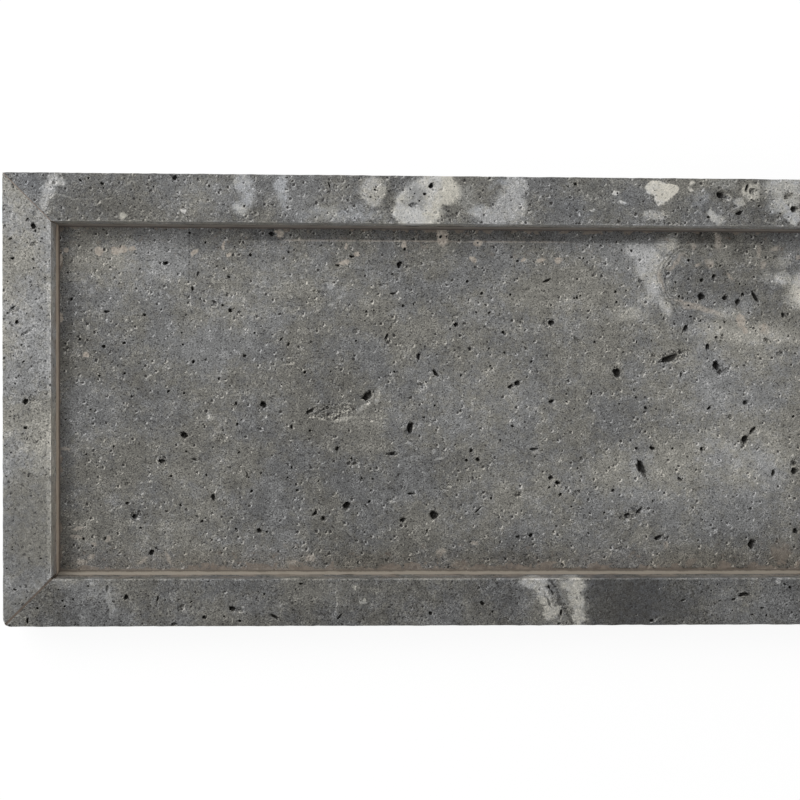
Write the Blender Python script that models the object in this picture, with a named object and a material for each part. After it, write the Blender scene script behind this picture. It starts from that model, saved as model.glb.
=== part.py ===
"""A grey travertine tray: a shallow rectangular well with a flat raised rim.

Four mitred stone rails stand round an inset stone floor. Brown resin fills the mitres and the joint round the
floor, and a bead of it runs along the foot of each wall. Four round pads carry the tray.

Lengths are in metres and +Z is up. +X runs along the tray to its right end, +Y runs to its back, and the origin
lies under the middle of the tray, on the surface that it stands on.
"""

from math import cos, radians, sin

import bmesh
import bpy
from mathutils import Matrix, Vector, noise

# Overall size of the stone
TRAY_LENGTH = 0.400
TRAY_WIDTH = 0.200
RAIL_WIDTH = 0.0213
RAIL_HEIGHT = 0.025
FLOOR_THICKNESS = 0.010

# Rounded corners in plan and worn edges
BACK_LEFT_RADIUS = 0.0015
FRONT_LEFT_RADIUS = 0.0037
BACK_RIGHT_RADIUS = 0.0022
FRONT_RIGHT_RADIUS = 0.0028
CORNER_SEGMENTS = 4
RAIL_ARRIS = 0.0006
FLOOR_ARRIS = 0.0004

# Resin in the joints and at the foot of the walls
SEAM_THICKNESS = 0.0006
JOINT_THICKNESS = 0.0008
BEAD_LEG = 0.0021
BEAD_BULGE_SHARE = 0.15

# Pads under the back and front rails
PAD_DIAMETER = 0.014
PAD_THICKNESS = 0.002
PAD_EDGE = 0.0004
PAD_SIDES = 32
PAD_END_INSET = 0.042

# Clearance that touching pieces keep, and the distance under which two points are one
FIT_GAP = 0.0003
WELD_DISTANCE = 0.00002

# Levels and places worked out from the sizes above
STONE_BASE = PAD_THICKNESS + FIT_GAP
RAIL_TOP = STONE_BASE + RAIL_HEIGHT
FLOOR_TOP = STONE_BASE + FLOOR_THICKNESS
WALL_X = TRAY_LENGTH / 2 - RAIL_WIDTH
WALL_Y = TRAY_WIDTH / 2 - RAIL_WIDTH
FLOOR_EDGE = JOINT_THICKNESS + 2 * FIT_GAP

# The four sides: length, turn about Z, and the corner radii at the left and right ends, seen from inside the well
SIDES = {
    "back": (TRAY_LENGTH, 0, BACK_LEFT_RADIUS, BACK_RIGHT_RADIUS),
    "left": (TRAY_WIDTH, 90, FRONT_LEFT_RADIUS, BACK_LEFT_RADIUS),
    "front": (TRAY_LENGTH, 180, FRONT_RIGHT_RADIUS, FRONT_LEFT_RADIUS),
    "right": (TRAY_WIDTH, 270, BACK_RIGHT_RADIUS, FRONT_RIGHT_RADIUS),
}

# The four corners: which way X and Y run out to the corner, and its radius
CORNERS = {
    "back_left": (-1, 1, BACK_LEFT_RADIUS),
    "back_right": (1, 1, BACK_RIGHT_RADIUS),
    "front_left": (-1, -1, FRONT_LEFT_RADIUS),
    "front_right": (1, -1, FRONT_RIGHT_RADIUS),
}

# Cavities in the floor. A place is a share of half the well's length and width, a length and a width are shares
# of FLOOR_CAVITY, a depth is a share of the floor's thickness, and the last number is the turn in degrees.
FLOOR_CAVITY = 0.010
FLOOR_CAVITY_SHARES = [
    (-0.205, 0.045, 0.62, 0.42, 0.42, 25),
    (-0.275, -0.045, 1.25, 0.52, 0.20, 22),
    (-0.355, -0.052, 0.55, 0.24, 0.34, 35),
    (0.560, 0.262, 1.30, 0.34, 0.30, 8),
    (0.158, 0.095, 0.62, 0.34, 0.40, 20),
    (0.418, 0.147, 0.36, 0.52, 0.42, 30),
    (0.443, -0.652, 0.55, 0.26, 0.34, 35),
    (0.487, -0.620, 0.50, 0.24, 0.34, 32),
    (0.481, -0.400, 0.30, 0.74, 0.42, 15),
    (0.748, -0.210, 0.92, 0.34, 0.40, 60),
    (0.768, 0.584, 0.26, 0.62, 0.36, 8),
    (-0.135, 0.780, 0.34, 0.30, 0.34, 0),
    (-0.800, 0.176, 0.26, 0.48, 0.36, 12),
    (-0.800, -0.660, 0.42, 0.38, 0.44, 0),
    (-0.675, -0.205, 0.42, 0.26, 0.34, 150),
    (-0.735, -0.343, 0.42, 0.22, 0.30, 10),
    (-0.646, -0.343, 0.30, 0.14, 0.24, 165),
    (-0.578, -0.216, 0.34, 0.30, 0.24, 0),
    (0.246, 0.446, 0.34, 0.28, 0.38, 0),
    (0.755, -0.838, 0.34, 0.46, 0.44, 170),
    (0.670, 0.187, 0.42, 0.30, 0.36, 15),
    (0.868, -0.406, 0.34, 0.50, 0.40, 165),
    (-0.110, -0.176, 0.28, 0.60, 0.34, 8),
    (-0.146, -0.305, 0.44, 0.20, 0.36, 12),
    (-0.272, -0.613, 0.30, 0.34, 0.42, 40),
    (-0.042, -0.665, 0.44, 0.40, 0.28, 140),
    (-0.454, 0.950, 0.30, 0.22, 0.30, 0),
    (0.527, -0.786, 0.42, 0.26, 0.30, 25),
    (-0.762, -0.884, 0.24, 0.36, 0.30, 0),
    (-0.087, 0.245, 0.22, 0.40, 0.30, 160),
    (-0.150, 0.412, 0.90, 0.20, 0.22, 52),
    (0.186, -0.774, 0.70, 0.20, 0.26, 5),
    (0.072, -0.613, 0.56, 0.16, 0.26, 42),
    (-0.298, -0.546, 0.34, 0.22, 0.26, 0),
    (-0.013, -0.500, 0.46, 0.26, 0.20, 0),
    (0.632, 0.590, 0.34, 0.28, 0.30, 0),
    (0.810, -0.424, 0.20, 0.36, 0.26, 170),
    (0.935, 0.355, 0.40, 0.26, 0.32, 30),
    (0.950, -0.130, 0.30, 0.34, 0.34, 0),
    (0.918, -0.730, 0.52, 0.24, 0.30, 120),
]

# Small pits in the floor: shares of half the well's length and width, and of PIT_DIAMETER
PIT_DIAMETER = 0.0024
PIT_DEPTH = 0.0019
FLOOR_PIT_SHARES = [
    (-0.623, 0.912, 0.85),
    (-0.644, 0.722, 0.90),
    (-0.659, 0.648, 0.80),
    (-0.568, 0.717, 0.70),
    (-0.780, 0.492, 0.75),
    (-0.965, 0.579, 0.65),
    (-0.942, 0.348, 0.70),
    (-0.654, 0.227, 0.90),
    (-0.527, 0.262, 0.80),
    (-0.679, 0.037, 0.75),
    (-0.548, -0.026, 0.80),
    (-0.252, 0.832, 0.95),
    (-0.335, 0.625, 1.00),
    (0.014, 0.440, 0.80),
    (-0.431, 0.360, 0.75),
    (0.072, 0.613, 0.70),
    (0.097, 0.199, 0.85),
    (0.246, 0.699, 1.00),
    (0.309, 0.596, 0.70),
    (0.251, -0.003, 0.80),
    (0.742, -0.009, 0.85),
    (0.651, -0.037, 0.75),
    (0.585, 0.406, 0.90),
    (0.643, 0.302, 0.80),
    (0.835, 0.486, 0.85),
    (0.691, 0.596, 0.75),
    (-0.292, -0.279, 1.00),
    (-0.520, -0.440, 0.80),
    (-0.209, -0.579, 0.75),
    (0.100, -0.567, 0.70),
    (0.059, -0.337, 0.80),
    (0.208, -0.279, 0.75),
    (0.249, -0.446, 0.95),
    (0.271, -0.544, 0.80),
    (0.633, -0.279, 0.85),
    (0.577, -0.458, 0.80),
    (0.302, -0.613, 0.75),
    (0.663, -0.751, 0.90),
    (0.507, -0.584, 0.70),
    (-0.712, -0.435, 0.80),
    (-0.821, -0.596, 0.85),
    (-0.684, -0.602, 0.70),
    (-0.628, -0.705, 0.80),
    (-0.540, -0.135, 0.75),
    (0.920, 0.120, 0.90),
    (0.958, -0.420, 0.75),
    (0.905, 0.760, 0.80),
]

# Tool marks in the floor: a strip ground down along the back wall, and a groove that runs out from it
GROUND_DEPTH = 0.0002
GROUND_WIDTH = 0.0078
GROUND_START_SHARE = -0.66
GROUND_END_SHARE = 0.38
GROOVE_WIDTH = 0.0007
GROOVE_LENGTH = 0.027
GROOVE_PLACE_SHARE = -0.666

# Cavities in the rails' top faces. A place is the side, a share of half the side's length and a share of the
# rail's width from its outer edge. A length, a width and a depth are shares of RAIL_CAVITY, then comes the turn.
RAIL_CAVITY = 0.004
RAIL_CAVITY_SHARES = [
    ("back", -0.186, 0.42, 0.55, 0.50, 0.45, 0),
    ("back", -0.067, 0.38, 0.62, 0.40, 0.45, 15),
    ("back", 0.268, 0.16, 0.42, 0.36, 0.40, 0),
    ("back", 0.594, 0.37, 0.66, 0.56, 0.50, 0),
    ("back", 0.654, 0.26, 0.95, 0.36, 0.45, 10),
    ("back", 0.634, 0.71, 0.50, 0.30, 0.40, 20),
    ("front", 0.731, 0.57, 0.55, 0.75, 0.50, 10),
    ("front", 0.490, 0.36, 0.62, 0.46, 0.45, 0),
    ("front", 0.552, 0.20, 0.46, 0.40, 0.45, 0),
    ("front", 0.390, 0.18, 0.90, 0.22, 0.40, 145),
    ("front", 0.053, 0.27, 0.50, 0.42, 0.45, 30),
    ("front", -0.211, 0.77, 0.62, 0.34, 0.45, 120),
    ("front", -0.652, 0.64, 0.80, 0.30, 0.40, 150),
    ("front", 0.869, 0.50, 0.50, 0.36, 0.45, 0),
    ("left", -0.015, 0.47, 0.86, 0.60, 0.50, 0),
    ("left", 0.755, 0.65, 0.66, 0.55, 0.50, 30),
    ("left", -0.230, 0.20, 0.50, 0.40, 0.45, 0),
    ("left", 0.340, 0.31, 0.50, 0.40, 0.45, 0),
    ("left", 0.620, 0.24, 0.42, 0.36, 0.45, 0),
    ("right", 0.280, 0.40, 0.75, 0.50, 0.45, 30),
    ("right", -0.460, 0.62, 0.60, 0.45, 0.45, 0),
    ("right", 0.660, 0.28, 0.45, 0.40, 0.40, 0),
]

# How finely a cavity is faceted, how far its wall strays from round, and how quickly it does
CAVITY_SUBDIVISION_COUNT = 2
CAVITY_STRAY_SHARE = 0.45
CAVITY_LUMP_SHARE = 1.3

# Colours in linear light, roughness and metallic value
RAIL_STONE = ((0.155, 0.158, 0.155), 0.62, 0.0)
FLOOR_STONE = ((0.140, 0.141, 0.138), 0.66, 0.0)
SEAM_RESIN = ((0.120, 0.105, 0.090), 0.50, 0.0)
BEAD_RESIN = ((0.270, 0.225, 0.190), 0.45, 0.0)
PAD_RUBBER = ((0.030, 0.030, 0.030), 0.85, 0.0)


def new_collection(name, parent):
    """Adds a collection under another."""
    group = bpy.data.collections.new(name)
    parent.children.link(group)
    return group


def finish_of(thing, finish):
    """Gives an object a material of its own."""
    colour, roughness, metallic = finish
    material = bpy.data.materials.new(thing.name + "_finish")
    material.use_nodes = True
    shader = material.node_tree.nodes["Principled BSDF"]
    shader.inputs["Base Color"].default_value = (*colour, 1)
    shader.inputs["Roughness"].default_value = roughness
    shader.inputs["Metallic"].default_value = metallic
    material.diffuse_color = (*colour, 1)
    thing.data.materials.append(material)


def add_piece(name, shape, group, finish):
    """Turns a bmesh into a named object with a finish."""
    mesh = bpy.data.meshes.new(name)
    shape.to_mesh(mesh)
    shape.free()
    thing = bpy.data.objects.new(name, mesh)
    group.objects.link(thing)
    finish_of(thing, finish)
    return thing


def block(low, high):
    """A box between two corners."""
    shape = bmesh.new()
    bmesh.ops.create_cube(shape, size=1)
    low, high = Vector(low), Vector(high)
    bmesh.ops.scale(shape, vec=high - low, verts=shape.verts)
    bmesh.ops.translate(shape, vec=(low + high) / 2, verts=shape.verts)
    return shape


def round_upright_edge(shape, x, y, radius):
    """Rounds the upright edge that stands at x, y."""
    corner = Vector((x, y))
    edges = [e for e in shape.edges if all((v.co.xy - corner).length < WELD_DISTANCE for v in e.verts)]
    rounding = {"offset": radius, "segments": CORNER_SEGMENTS, "profile": 0.5}
    bmesh.ops.bevel(shape, geom=edges, affect="EDGES", clamp_overlap=True, **rounding)


def wear_level_edges(shape, width):
    """Takes the sharpness off the edges round the top and the underside."""
    low = min(v.co.z for v in shape.verts)
    high = max(v.co.z for v in shape.verts)
    edges = []
    for edge in shape.edges:
        heights = [v.co.z for v in edge.verts]
        if max(heights) - low < WELD_DISTANCE or high - min(heights) < WELD_DISTANCE:
            edges.append(edge)
    bmesh.ops.bevel(shape, geom=edges, offset=width, segments=1, affect="EDGES", clamp_overlap=True)


def cut_away(shape, point, normal):
    """Removes what lies past a plane and closes the cut."""
    everything = shape.verts[:] + shape.edges[:] + shape.faces[:]
    cut = bmesh.ops.bisect_plane(shape, geom=everything, plane_co=point, plane_no=normal, clear_outer=True)
    edges = [part for part in cut["geom_cut"] if isinstance(part, bmesh.types.BMEdge)]
    bmesh.ops.edgeloop_fill(shape, edges=edges)
    bmesh.ops.recalc_face_normals(shape, faces=shape.faces)


def mitre_ends(shape, half_length, outer, setback):
    """Cuts both ends of a strip along X at 45 degrees, a setback short of the mitre, outer being its long side."""
    for end in (-1, 1):
        away = Vector((end, -1, 0)).normalized()
        corner = Vector((end * half_length, outer, 0))
        cut_away(shape, corner - away * setback, away)


def strip_outline(points, half_length):
    """An outline in the plane across a strip, drawn out along X: a mesh shape centred on x = 0."""
    curve = bpy.data.curves.new("strip_outline", "CURVE")
    curve.dimensions = "2D"
    curve.fill_mode = "BOTH"
    curve.extrude = half_length
    line = curve.splines.new("POLY")
    line.points.add(len(points) - 1)
    for point, (across, up) in zip(line.points, points):
        point.co = (across, up, 0, 1)
    line.use_cyclic_u = True
    guide = bpy.data.objects.new("strip_outline", curve)
    bpy.context.scene.collection.objects.link(guide)
    bpy.context.view_layer.update()
    mesh = bpy.data.meshes.new_from_object(guide.evaluated_get(bpy.context.evaluated_depsgraph_get()))
    shape = bmesh.new()
    shape.from_mesh(mesh)
    bmesh.ops.remove_doubles(shape, verts=shape.verts, dist=WELD_DISTANCE)
    lay_along_x = Matrix(((0, 0, 1, 0), (1, 0, 0, 0), (0, 1, 0, 0), (0, 0, 0, 1)))
    bmesh.ops.transform(shape, matrix=lay_along_x, verts=shape.verts)
    bmesh.ops.recalc_face_normals(shape, faces=shape.faces)
    bpy.data.objects.remove(guide)
    bpy.data.curves.remove(curve)
    bpy.data.meshes.remove(mesh)
    return shape


def hide_cutter(name, shape, cutters):
    """Keeps a shape as a cutter, drawn in wire and never rendered."""
    mesh = bpy.data.meshes.new(name)
    shape.to_mesh(mesh)
    shape.free()
    cutter = bpy.data.objects.new(name, mesh)
    cutter.display_type = "WIRE"
    cutter.hide_render = True
    cutters.objects.link(cutter)
    return cutter


def add_cavity_cutter(name, place, cutters, number):
    """A rough hollow: a ball with an uneven wall, stretched. A place is x, y, z, length, width, depth and turn."""
    x, y, z, length, width, depth, turn = place
    shape = bmesh.new()
    bmesh.ops.create_icosphere(shape, subdivisions=CAVITY_SUBDIVISION_COUNT, radius=1)
    for vertex in shape.verts:
        lump = noise.noise(vertex.co * CAVITY_LUMP_SHARE + Vector((number, 0, 0)))
        vertex.co *= 1 + CAVITY_STRAY_SHARE * lump
    bmesh.ops.scale(shape, vec=(length / 2, width / 2, depth), verts=shape.verts)
    cutter = hide_cutter(name, shape, cutters)
    cutter.location = (x, y, z)
    cutter.rotation_euler.z = radians(turn)


def cut_with(thing, cutters):
    """Cuts a collection of cutters out of a piece."""
    cut = thing.modifiers.new("cavities", "BOOLEAN")
    cut.operation = "DIFFERENCE"
    cut.operand_type = "COLLECTION"
    cut.collection = cutters
    cut.solver = "EXACT"


def turned(x, y, degrees):
    """A point in plan, turned about the origin."""
    angle = radians(degrees)
    return x * cos(angle) - y * sin(angle), x * sin(angle) + y * cos(angle)


def outer_face(side):
    """How far a side's outer face lies from the middle of the tray."""
    return TRAY_WIDTH / 2 if side in ("back", "front") else TRAY_LENGTH / 2


def add_rail(side, group, cutters):
    """A stone strip of the rim, mitred at both ends."""
    length, turn, left_radius, right_radius = SIDES[side]
    outer = outer_face(side)
    half = length / 2
    shape = block((-half, outer - RAIL_WIDTH, STONE_BASE), (half, outer, RAIL_TOP))
    round_upright_edge(shape, -half, outer, left_radius)
    round_upright_edge(shape, half, outer, right_radius)
    wear_level_edges(shape, RAIL_ARRIS)
    mitre_ends(shape, half, outer, SEAM_THICKNESS / 2 + FIT_GAP)
    bmesh.ops.rotate(shape, cent=(0, 0, 0), matrix=Matrix.Rotation(radians(turn), 3, "Z"), verts=shape.verts)
    rail = add_piece("rail_" + side, shape, group, RAIL_STONE)
    own_cutters = new_collection("cavities_of_rail_" + side, cutters)
    own = [row for row in RAIL_CAVITY_SHARES if row[0] == side]
    for number, (_, along, across, long, wide, deep, angle) in enumerate(own, 1):
        x, y = turned(along * half, outer - across * RAIL_WIDTH, turn)
        size = (long * RAIL_CAVITY, wide * RAIL_CAVITY, deep * RAIL_CAVITY)
        place = (x, y, RAIL_TOP, *size, angle + turn)
        add_cavity_cutter(f"cavity_of_rail_{side}_{number}", place, own_cutters, number)
    cut_with(rail, own_cutters)


def add_seam(corner, group):
    """The sheet of resin in a mitre: a slice of the corner block."""
    x_way, y_way, radius = CORNERS[corner]
    x_out, y_out = TRAY_LENGTH / 2, TRAY_WIDTH / 2
    shape = block((x_out - RAIL_WIDTH, y_out - RAIL_WIDTH, STONE_BASE), (x_out, y_out, RAIL_TOP))
    round_upright_edge(shape, x_out, y_out, radius)
    wear_level_edges(shape, RAIL_ARRIS)
    across = Vector((1, -1, 0)).normalized()
    for way in (-1, 1):
        cut_away(shape, Vector((x_out, y_out, 0)) + across * way * SEAM_THICKNESS / 2, across * way)
    bmesh.ops.scale(shape, vec=(x_way, y_way, 1), verts=shape.verts)
    bmesh.ops.recalc_face_normals(shape, faces=shape.faces)
    add_piece("seam_" + corner, shape, group, SEAM_RESIN)


def add_joint(side, group):
    """The strip of resin between the floor's edge and a rail, as deep as the floor is thick."""
    length, turn, _, _ = SIDES[side]
    outer = outer_face(side) - RAIL_WIDTH - FIT_GAP
    half = length / 2 - RAIL_WIDTH - FIT_GAP
    shape = block((-half, outer - JOINT_THICKNESS, STONE_BASE), (half, outer, FLOOR_TOP))
    mitre_ends(shape, half, outer, FIT_GAP / 2)
    bmesh.ops.rotate(shape, cent=(0, 0, 0), matrix=Matrix.Rotation(radians(turn), 3, "Z"), verts=shape.verts)
    add_piece("joint_" + side, shape, group, SEAM_RESIN)


def add_bead(side, group):
    """The fillet of resin in the angle between the floor and a wall, mitred into its neighbours."""
    length, turn, _, _ = SIDES[side]
    outer = outer_face(side) - RAIL_WIDTH - FIT_GAP
    half = length / 2 - RAIL_WIDTH - FIT_GAP
    foot = FLOOR_TOP + FIT_GAP
    bulge = BEAD_LEG * (0.5 - BEAD_BULGE_SHARE)
    outline = [
        (outer - BEAD_LEG, foot),
        (outer, foot),
        (outer, foot + BEAD_LEG),
        (outer - bulge, foot + BEAD_LEG - bulge),
    ]
    shape = strip_outline(outline, half)
    mitre_ends(shape, half, outer, FIT_GAP / 2)
    bmesh.ops.rotate(shape, cent=(0, 0, 0), matrix=Matrix.Rotation(radians(turn), 3, "Z"), verts=shape.verts)
    add_piece("bead_" + side, shape, group, BEAD_RESIN)


def add_tool_marks(cutters):
    """The strip ground down along the back wall and the groove across its end."""
    bottom, top = FLOOR_TOP - GROUND_DEPTH, FLOOR_TOP + GROUND_DEPTH
    start, end = GROUND_START_SHARE * WALL_X, GROUND_END_SHARE * WALL_X
    strip = block((start, WALL_Y - GROUND_WIDTH, bottom), (end, WALL_Y, top))
    hide_cutter("ground_strip", strip, cutters)
    groove_x = GROOVE_PLACE_SHARE * WALL_X
    low = (groove_x - GROOVE_WIDTH / 2, WALL_Y - GROOVE_LENGTH, bottom)
    groove = block(low, (groove_x + GROOVE_WIDTH / 2, WALL_Y, top))
    hide_cutter("groove", groove, cutters)


def add_floor(group, cutters):
    """The slab of the well, set between the rails with its joint all round."""
    x, y = WALL_X - FLOOR_EDGE, WALL_Y - FLOOR_EDGE
    shape = block((-x, -y, STONE_BASE), (x, y, FLOOR_TOP))
    wear_level_edges(shape, FLOOR_ARRIS)
    floor = add_piece("floor_panel", shape, group, FLOOR_STONE)
    own_cutters = new_collection("cavities_of_floor", cutters)
    places = []
    for x_share, y_share, long, wide, deep, angle in FLOOR_CAVITY_SHARES:
        size = (long * FLOOR_CAVITY, wide * FLOOR_CAVITY, deep * FLOOR_THICKNESS)
        places.append((x_share * WALL_X, y_share * WALL_Y, FLOOR_TOP, *size, angle))
    for x_share, y_share, share in FLOOR_PIT_SHARES:
        size = (share * PIT_DIAMETER, share * PIT_DIAMETER, share * PIT_DEPTH)
        places.append((x_share * WALL_X, y_share * WALL_Y, FLOOR_TOP, *size, 0))
    for number, place in enumerate(places, 1):
        add_cavity_cutter(f"cavity_of_floor_{number}", place, own_cutters, number)
    add_tool_marks(own_cutters)
    cut_with(floor, own_cutters)


def add_pad(corner, group):
    """A round pad under a back or front rail, near a corner."""
    x_way, y_way, _ = CORNERS[corner]
    shape = bmesh.new()
    radius = PAD_DIAMETER / 2
    round_size = {"radius1": radius, "radius2": radius, "depth": PAD_THICKNESS}
    bmesh.ops.create_cone(shape, cap_ends=True, segments=PAD_SIDES, **round_size)
    wear_level_edges(shape, PAD_EDGE)
    pad = add_piece("pad_" + corner, shape, group, PAD_RUBBER)
    pad.location = (
        x_way * (TRAY_LENGTH / 2 - PAD_END_INSET),
        y_way * (TRAY_WIDTH / 2 - RAIL_WIDTH / 2),
        PAD_THICKNESS / 2,
    )
    pad.data.shade_smooth()
    pad.data.set_sharp_from_angle(angle=radians(30))


def build_tray():
    """Clears the scene and models every piece."""
    for thing in list(bpy.data.objects):
        bpy.data.objects.remove(thing)
    scene_group = bpy.context.scene.collection
    tray = new_collection("travertine_tray", scene_group)
    cutters = new_collection("cutters", scene_group)
    add_floor(tray, cutters)
    for side in SIDES:
        add_rail(side, tray, cutters)
        add_joint(side, tray)
        add_bead(side, tray)
    for corner in CORNERS:
        add_seam(corner, tray)
        add_pad(corner, tray)


build_tray()
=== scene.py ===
"""The looks of a travertine tray: pitted, mitred stone rails round an inset floor, glued with brown resin.

Lengths are in metres and +Z is up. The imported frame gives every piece's place. Pits, veins and stains that
the photograph shows are placed by its pixels, in a frame of 800 by 800, on the face that the camera sees.
"""

import random
from collections import namedtuple
from math import cos, hypot, pi, radians, sin

import bmesh
import bpy
from mathutils import Euler, Matrix, Vector


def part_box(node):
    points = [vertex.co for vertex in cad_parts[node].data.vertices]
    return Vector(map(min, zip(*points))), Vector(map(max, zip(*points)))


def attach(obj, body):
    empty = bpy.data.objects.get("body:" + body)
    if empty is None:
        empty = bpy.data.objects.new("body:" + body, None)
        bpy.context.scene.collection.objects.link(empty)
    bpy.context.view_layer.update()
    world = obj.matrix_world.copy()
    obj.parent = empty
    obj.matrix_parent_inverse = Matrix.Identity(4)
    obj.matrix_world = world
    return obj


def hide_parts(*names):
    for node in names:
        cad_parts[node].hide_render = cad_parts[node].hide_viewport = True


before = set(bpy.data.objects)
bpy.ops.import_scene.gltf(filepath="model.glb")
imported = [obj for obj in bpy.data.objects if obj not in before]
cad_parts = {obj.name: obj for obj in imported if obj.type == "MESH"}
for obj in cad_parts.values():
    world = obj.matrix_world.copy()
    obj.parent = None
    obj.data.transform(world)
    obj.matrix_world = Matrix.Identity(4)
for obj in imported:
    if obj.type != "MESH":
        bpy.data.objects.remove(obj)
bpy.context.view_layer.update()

# Sizes read from the frame
HALF_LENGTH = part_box("rail_right")[1].x
HALF_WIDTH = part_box("rail_back")[1].y
WALL_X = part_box("rail_right")[0].x
WALL_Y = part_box("rail_back")[0].y
RAIL_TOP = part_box("rail_back")[1].z
STONE_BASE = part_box("rail_back")[0].z
FLOOR_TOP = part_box("floor_panel")[1].z
FLOOR_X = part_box("floor_panel")[1].x
FLOOR_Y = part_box("floor_panel")[1].y

# Sizes of the finish
MM = 0.001
ARRIS = 0.45 * MM
CORNER_RADII = {(-1, 1): 1.5 * MM, (1, 1): 2.2 * MM, (-1, -1): 3.7 * MM, (1, -1): 2.8 * MM}
CORNER_SEGMENTS = 5
MITRE_HALF_GAPS = {(-1, 1): 0.2 * MM, (1, 1): 0.25 * MM, (-1, -1): 0.45 * MM, (1, -1): 0.25 * MM}
OVERLAP = 0.1 * MM
RAIL_SLICE = 2.2 * MM
BEAD_SLICE = 1.6 * MM
JOINT_SLICE = 3 * MM
SEAM_SLICES = 16
LONGEST_SLANT = 10 * MM
STONE_SMOOTHING = 35
RESIN_SMOOTHING = 60
SEAM_SMOOTHING = 50
PAD_SMOOTHING = 40
PAD_SIDES = 48
PAD_EDGE = 0.5 * MM
# The ring in a pad's underside: an inset and a rise for each step
PAD_STEPS = ((1.2 * MM, 0), (0.3 * MM, 0.35 * MM), (0.8 * MM, 0), (0.3 * MM, -0.3 * MM))

# The camera, fitted to the rim's edges in the photograph
PHOTO_SIDE = 800
SENSOR_WIDTH = 36.0
LENS = 71.1
FOCAL_PIXELS = LENS / SENSOR_WIDTH * PHOTO_SIDE
CAMERA_PLACE = Vector((-0.05559, 0.01819, 0.7273))
CAMERA_TURN = Euler((radians(-1.442), radians(-2.476), radians(0.243)))
PIXEL = (CAMERA_PLACE.z - RAIL_TOP) / FOCAL_PIXELS

# The light
WORLD_LIGHT = 0.37
LAMP_POWER = 7.1
LAMP_SIDE = 0.85
LAMP_WAY = Vector((-0.58, 0.47, 1.0))
LAMP_DISTANCE = 1.25
LIT_WAY = Vector((-0.78, 0.63, 0))

# The four sides of the rim: which way each faces outwards, and the line along which it runs
UP = Vector((0, 0, 1))
DOWN = Vector((0, 0, -1))
OUTWARD = {
    "back": Vector((0, 1, 0)),
    "front": Vector((0, -1, 0)),
    "left": Vector((-1, 0, 0)),
    "right": Vector((1, 0, 0)),
}
ALONG = {side: Vector((abs(way.y), abs(way.x), 0)) for side, way in OUTWARD.items()}
CORNER_WAYS = {"back_left": (-1, 1), "back_right": (1, 1), "front_left": (-1, -1), "front_right": (1, -1)}


def on_level(x, y, level):
    """The point of a level face that the photograph shows at pixel x, y."""
    ray = Vector((x - PHOTO_SIDE / 2, PHOTO_SIDE / 2 - y, -FOCAL_PIXELS))
    ray.rotate(CAMERA_TURN)
    return CAMERA_PLACE + ray * (level - CAMERA_PLACE.z) / ray.z


def on_floor(x, y):
    """The point of the floor at pixel x, y."""
    return on_level(x, y, FLOOR_TOP)


def paint(red, green, blue):
    """A colour in linear light from the values that a screen shows, 0 to 255."""
    linear = [((value / 255 + 0.055) / 1.055) ** 2.4 for value in (red, green, blue)]
    return (*linear, 1.0)


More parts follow.
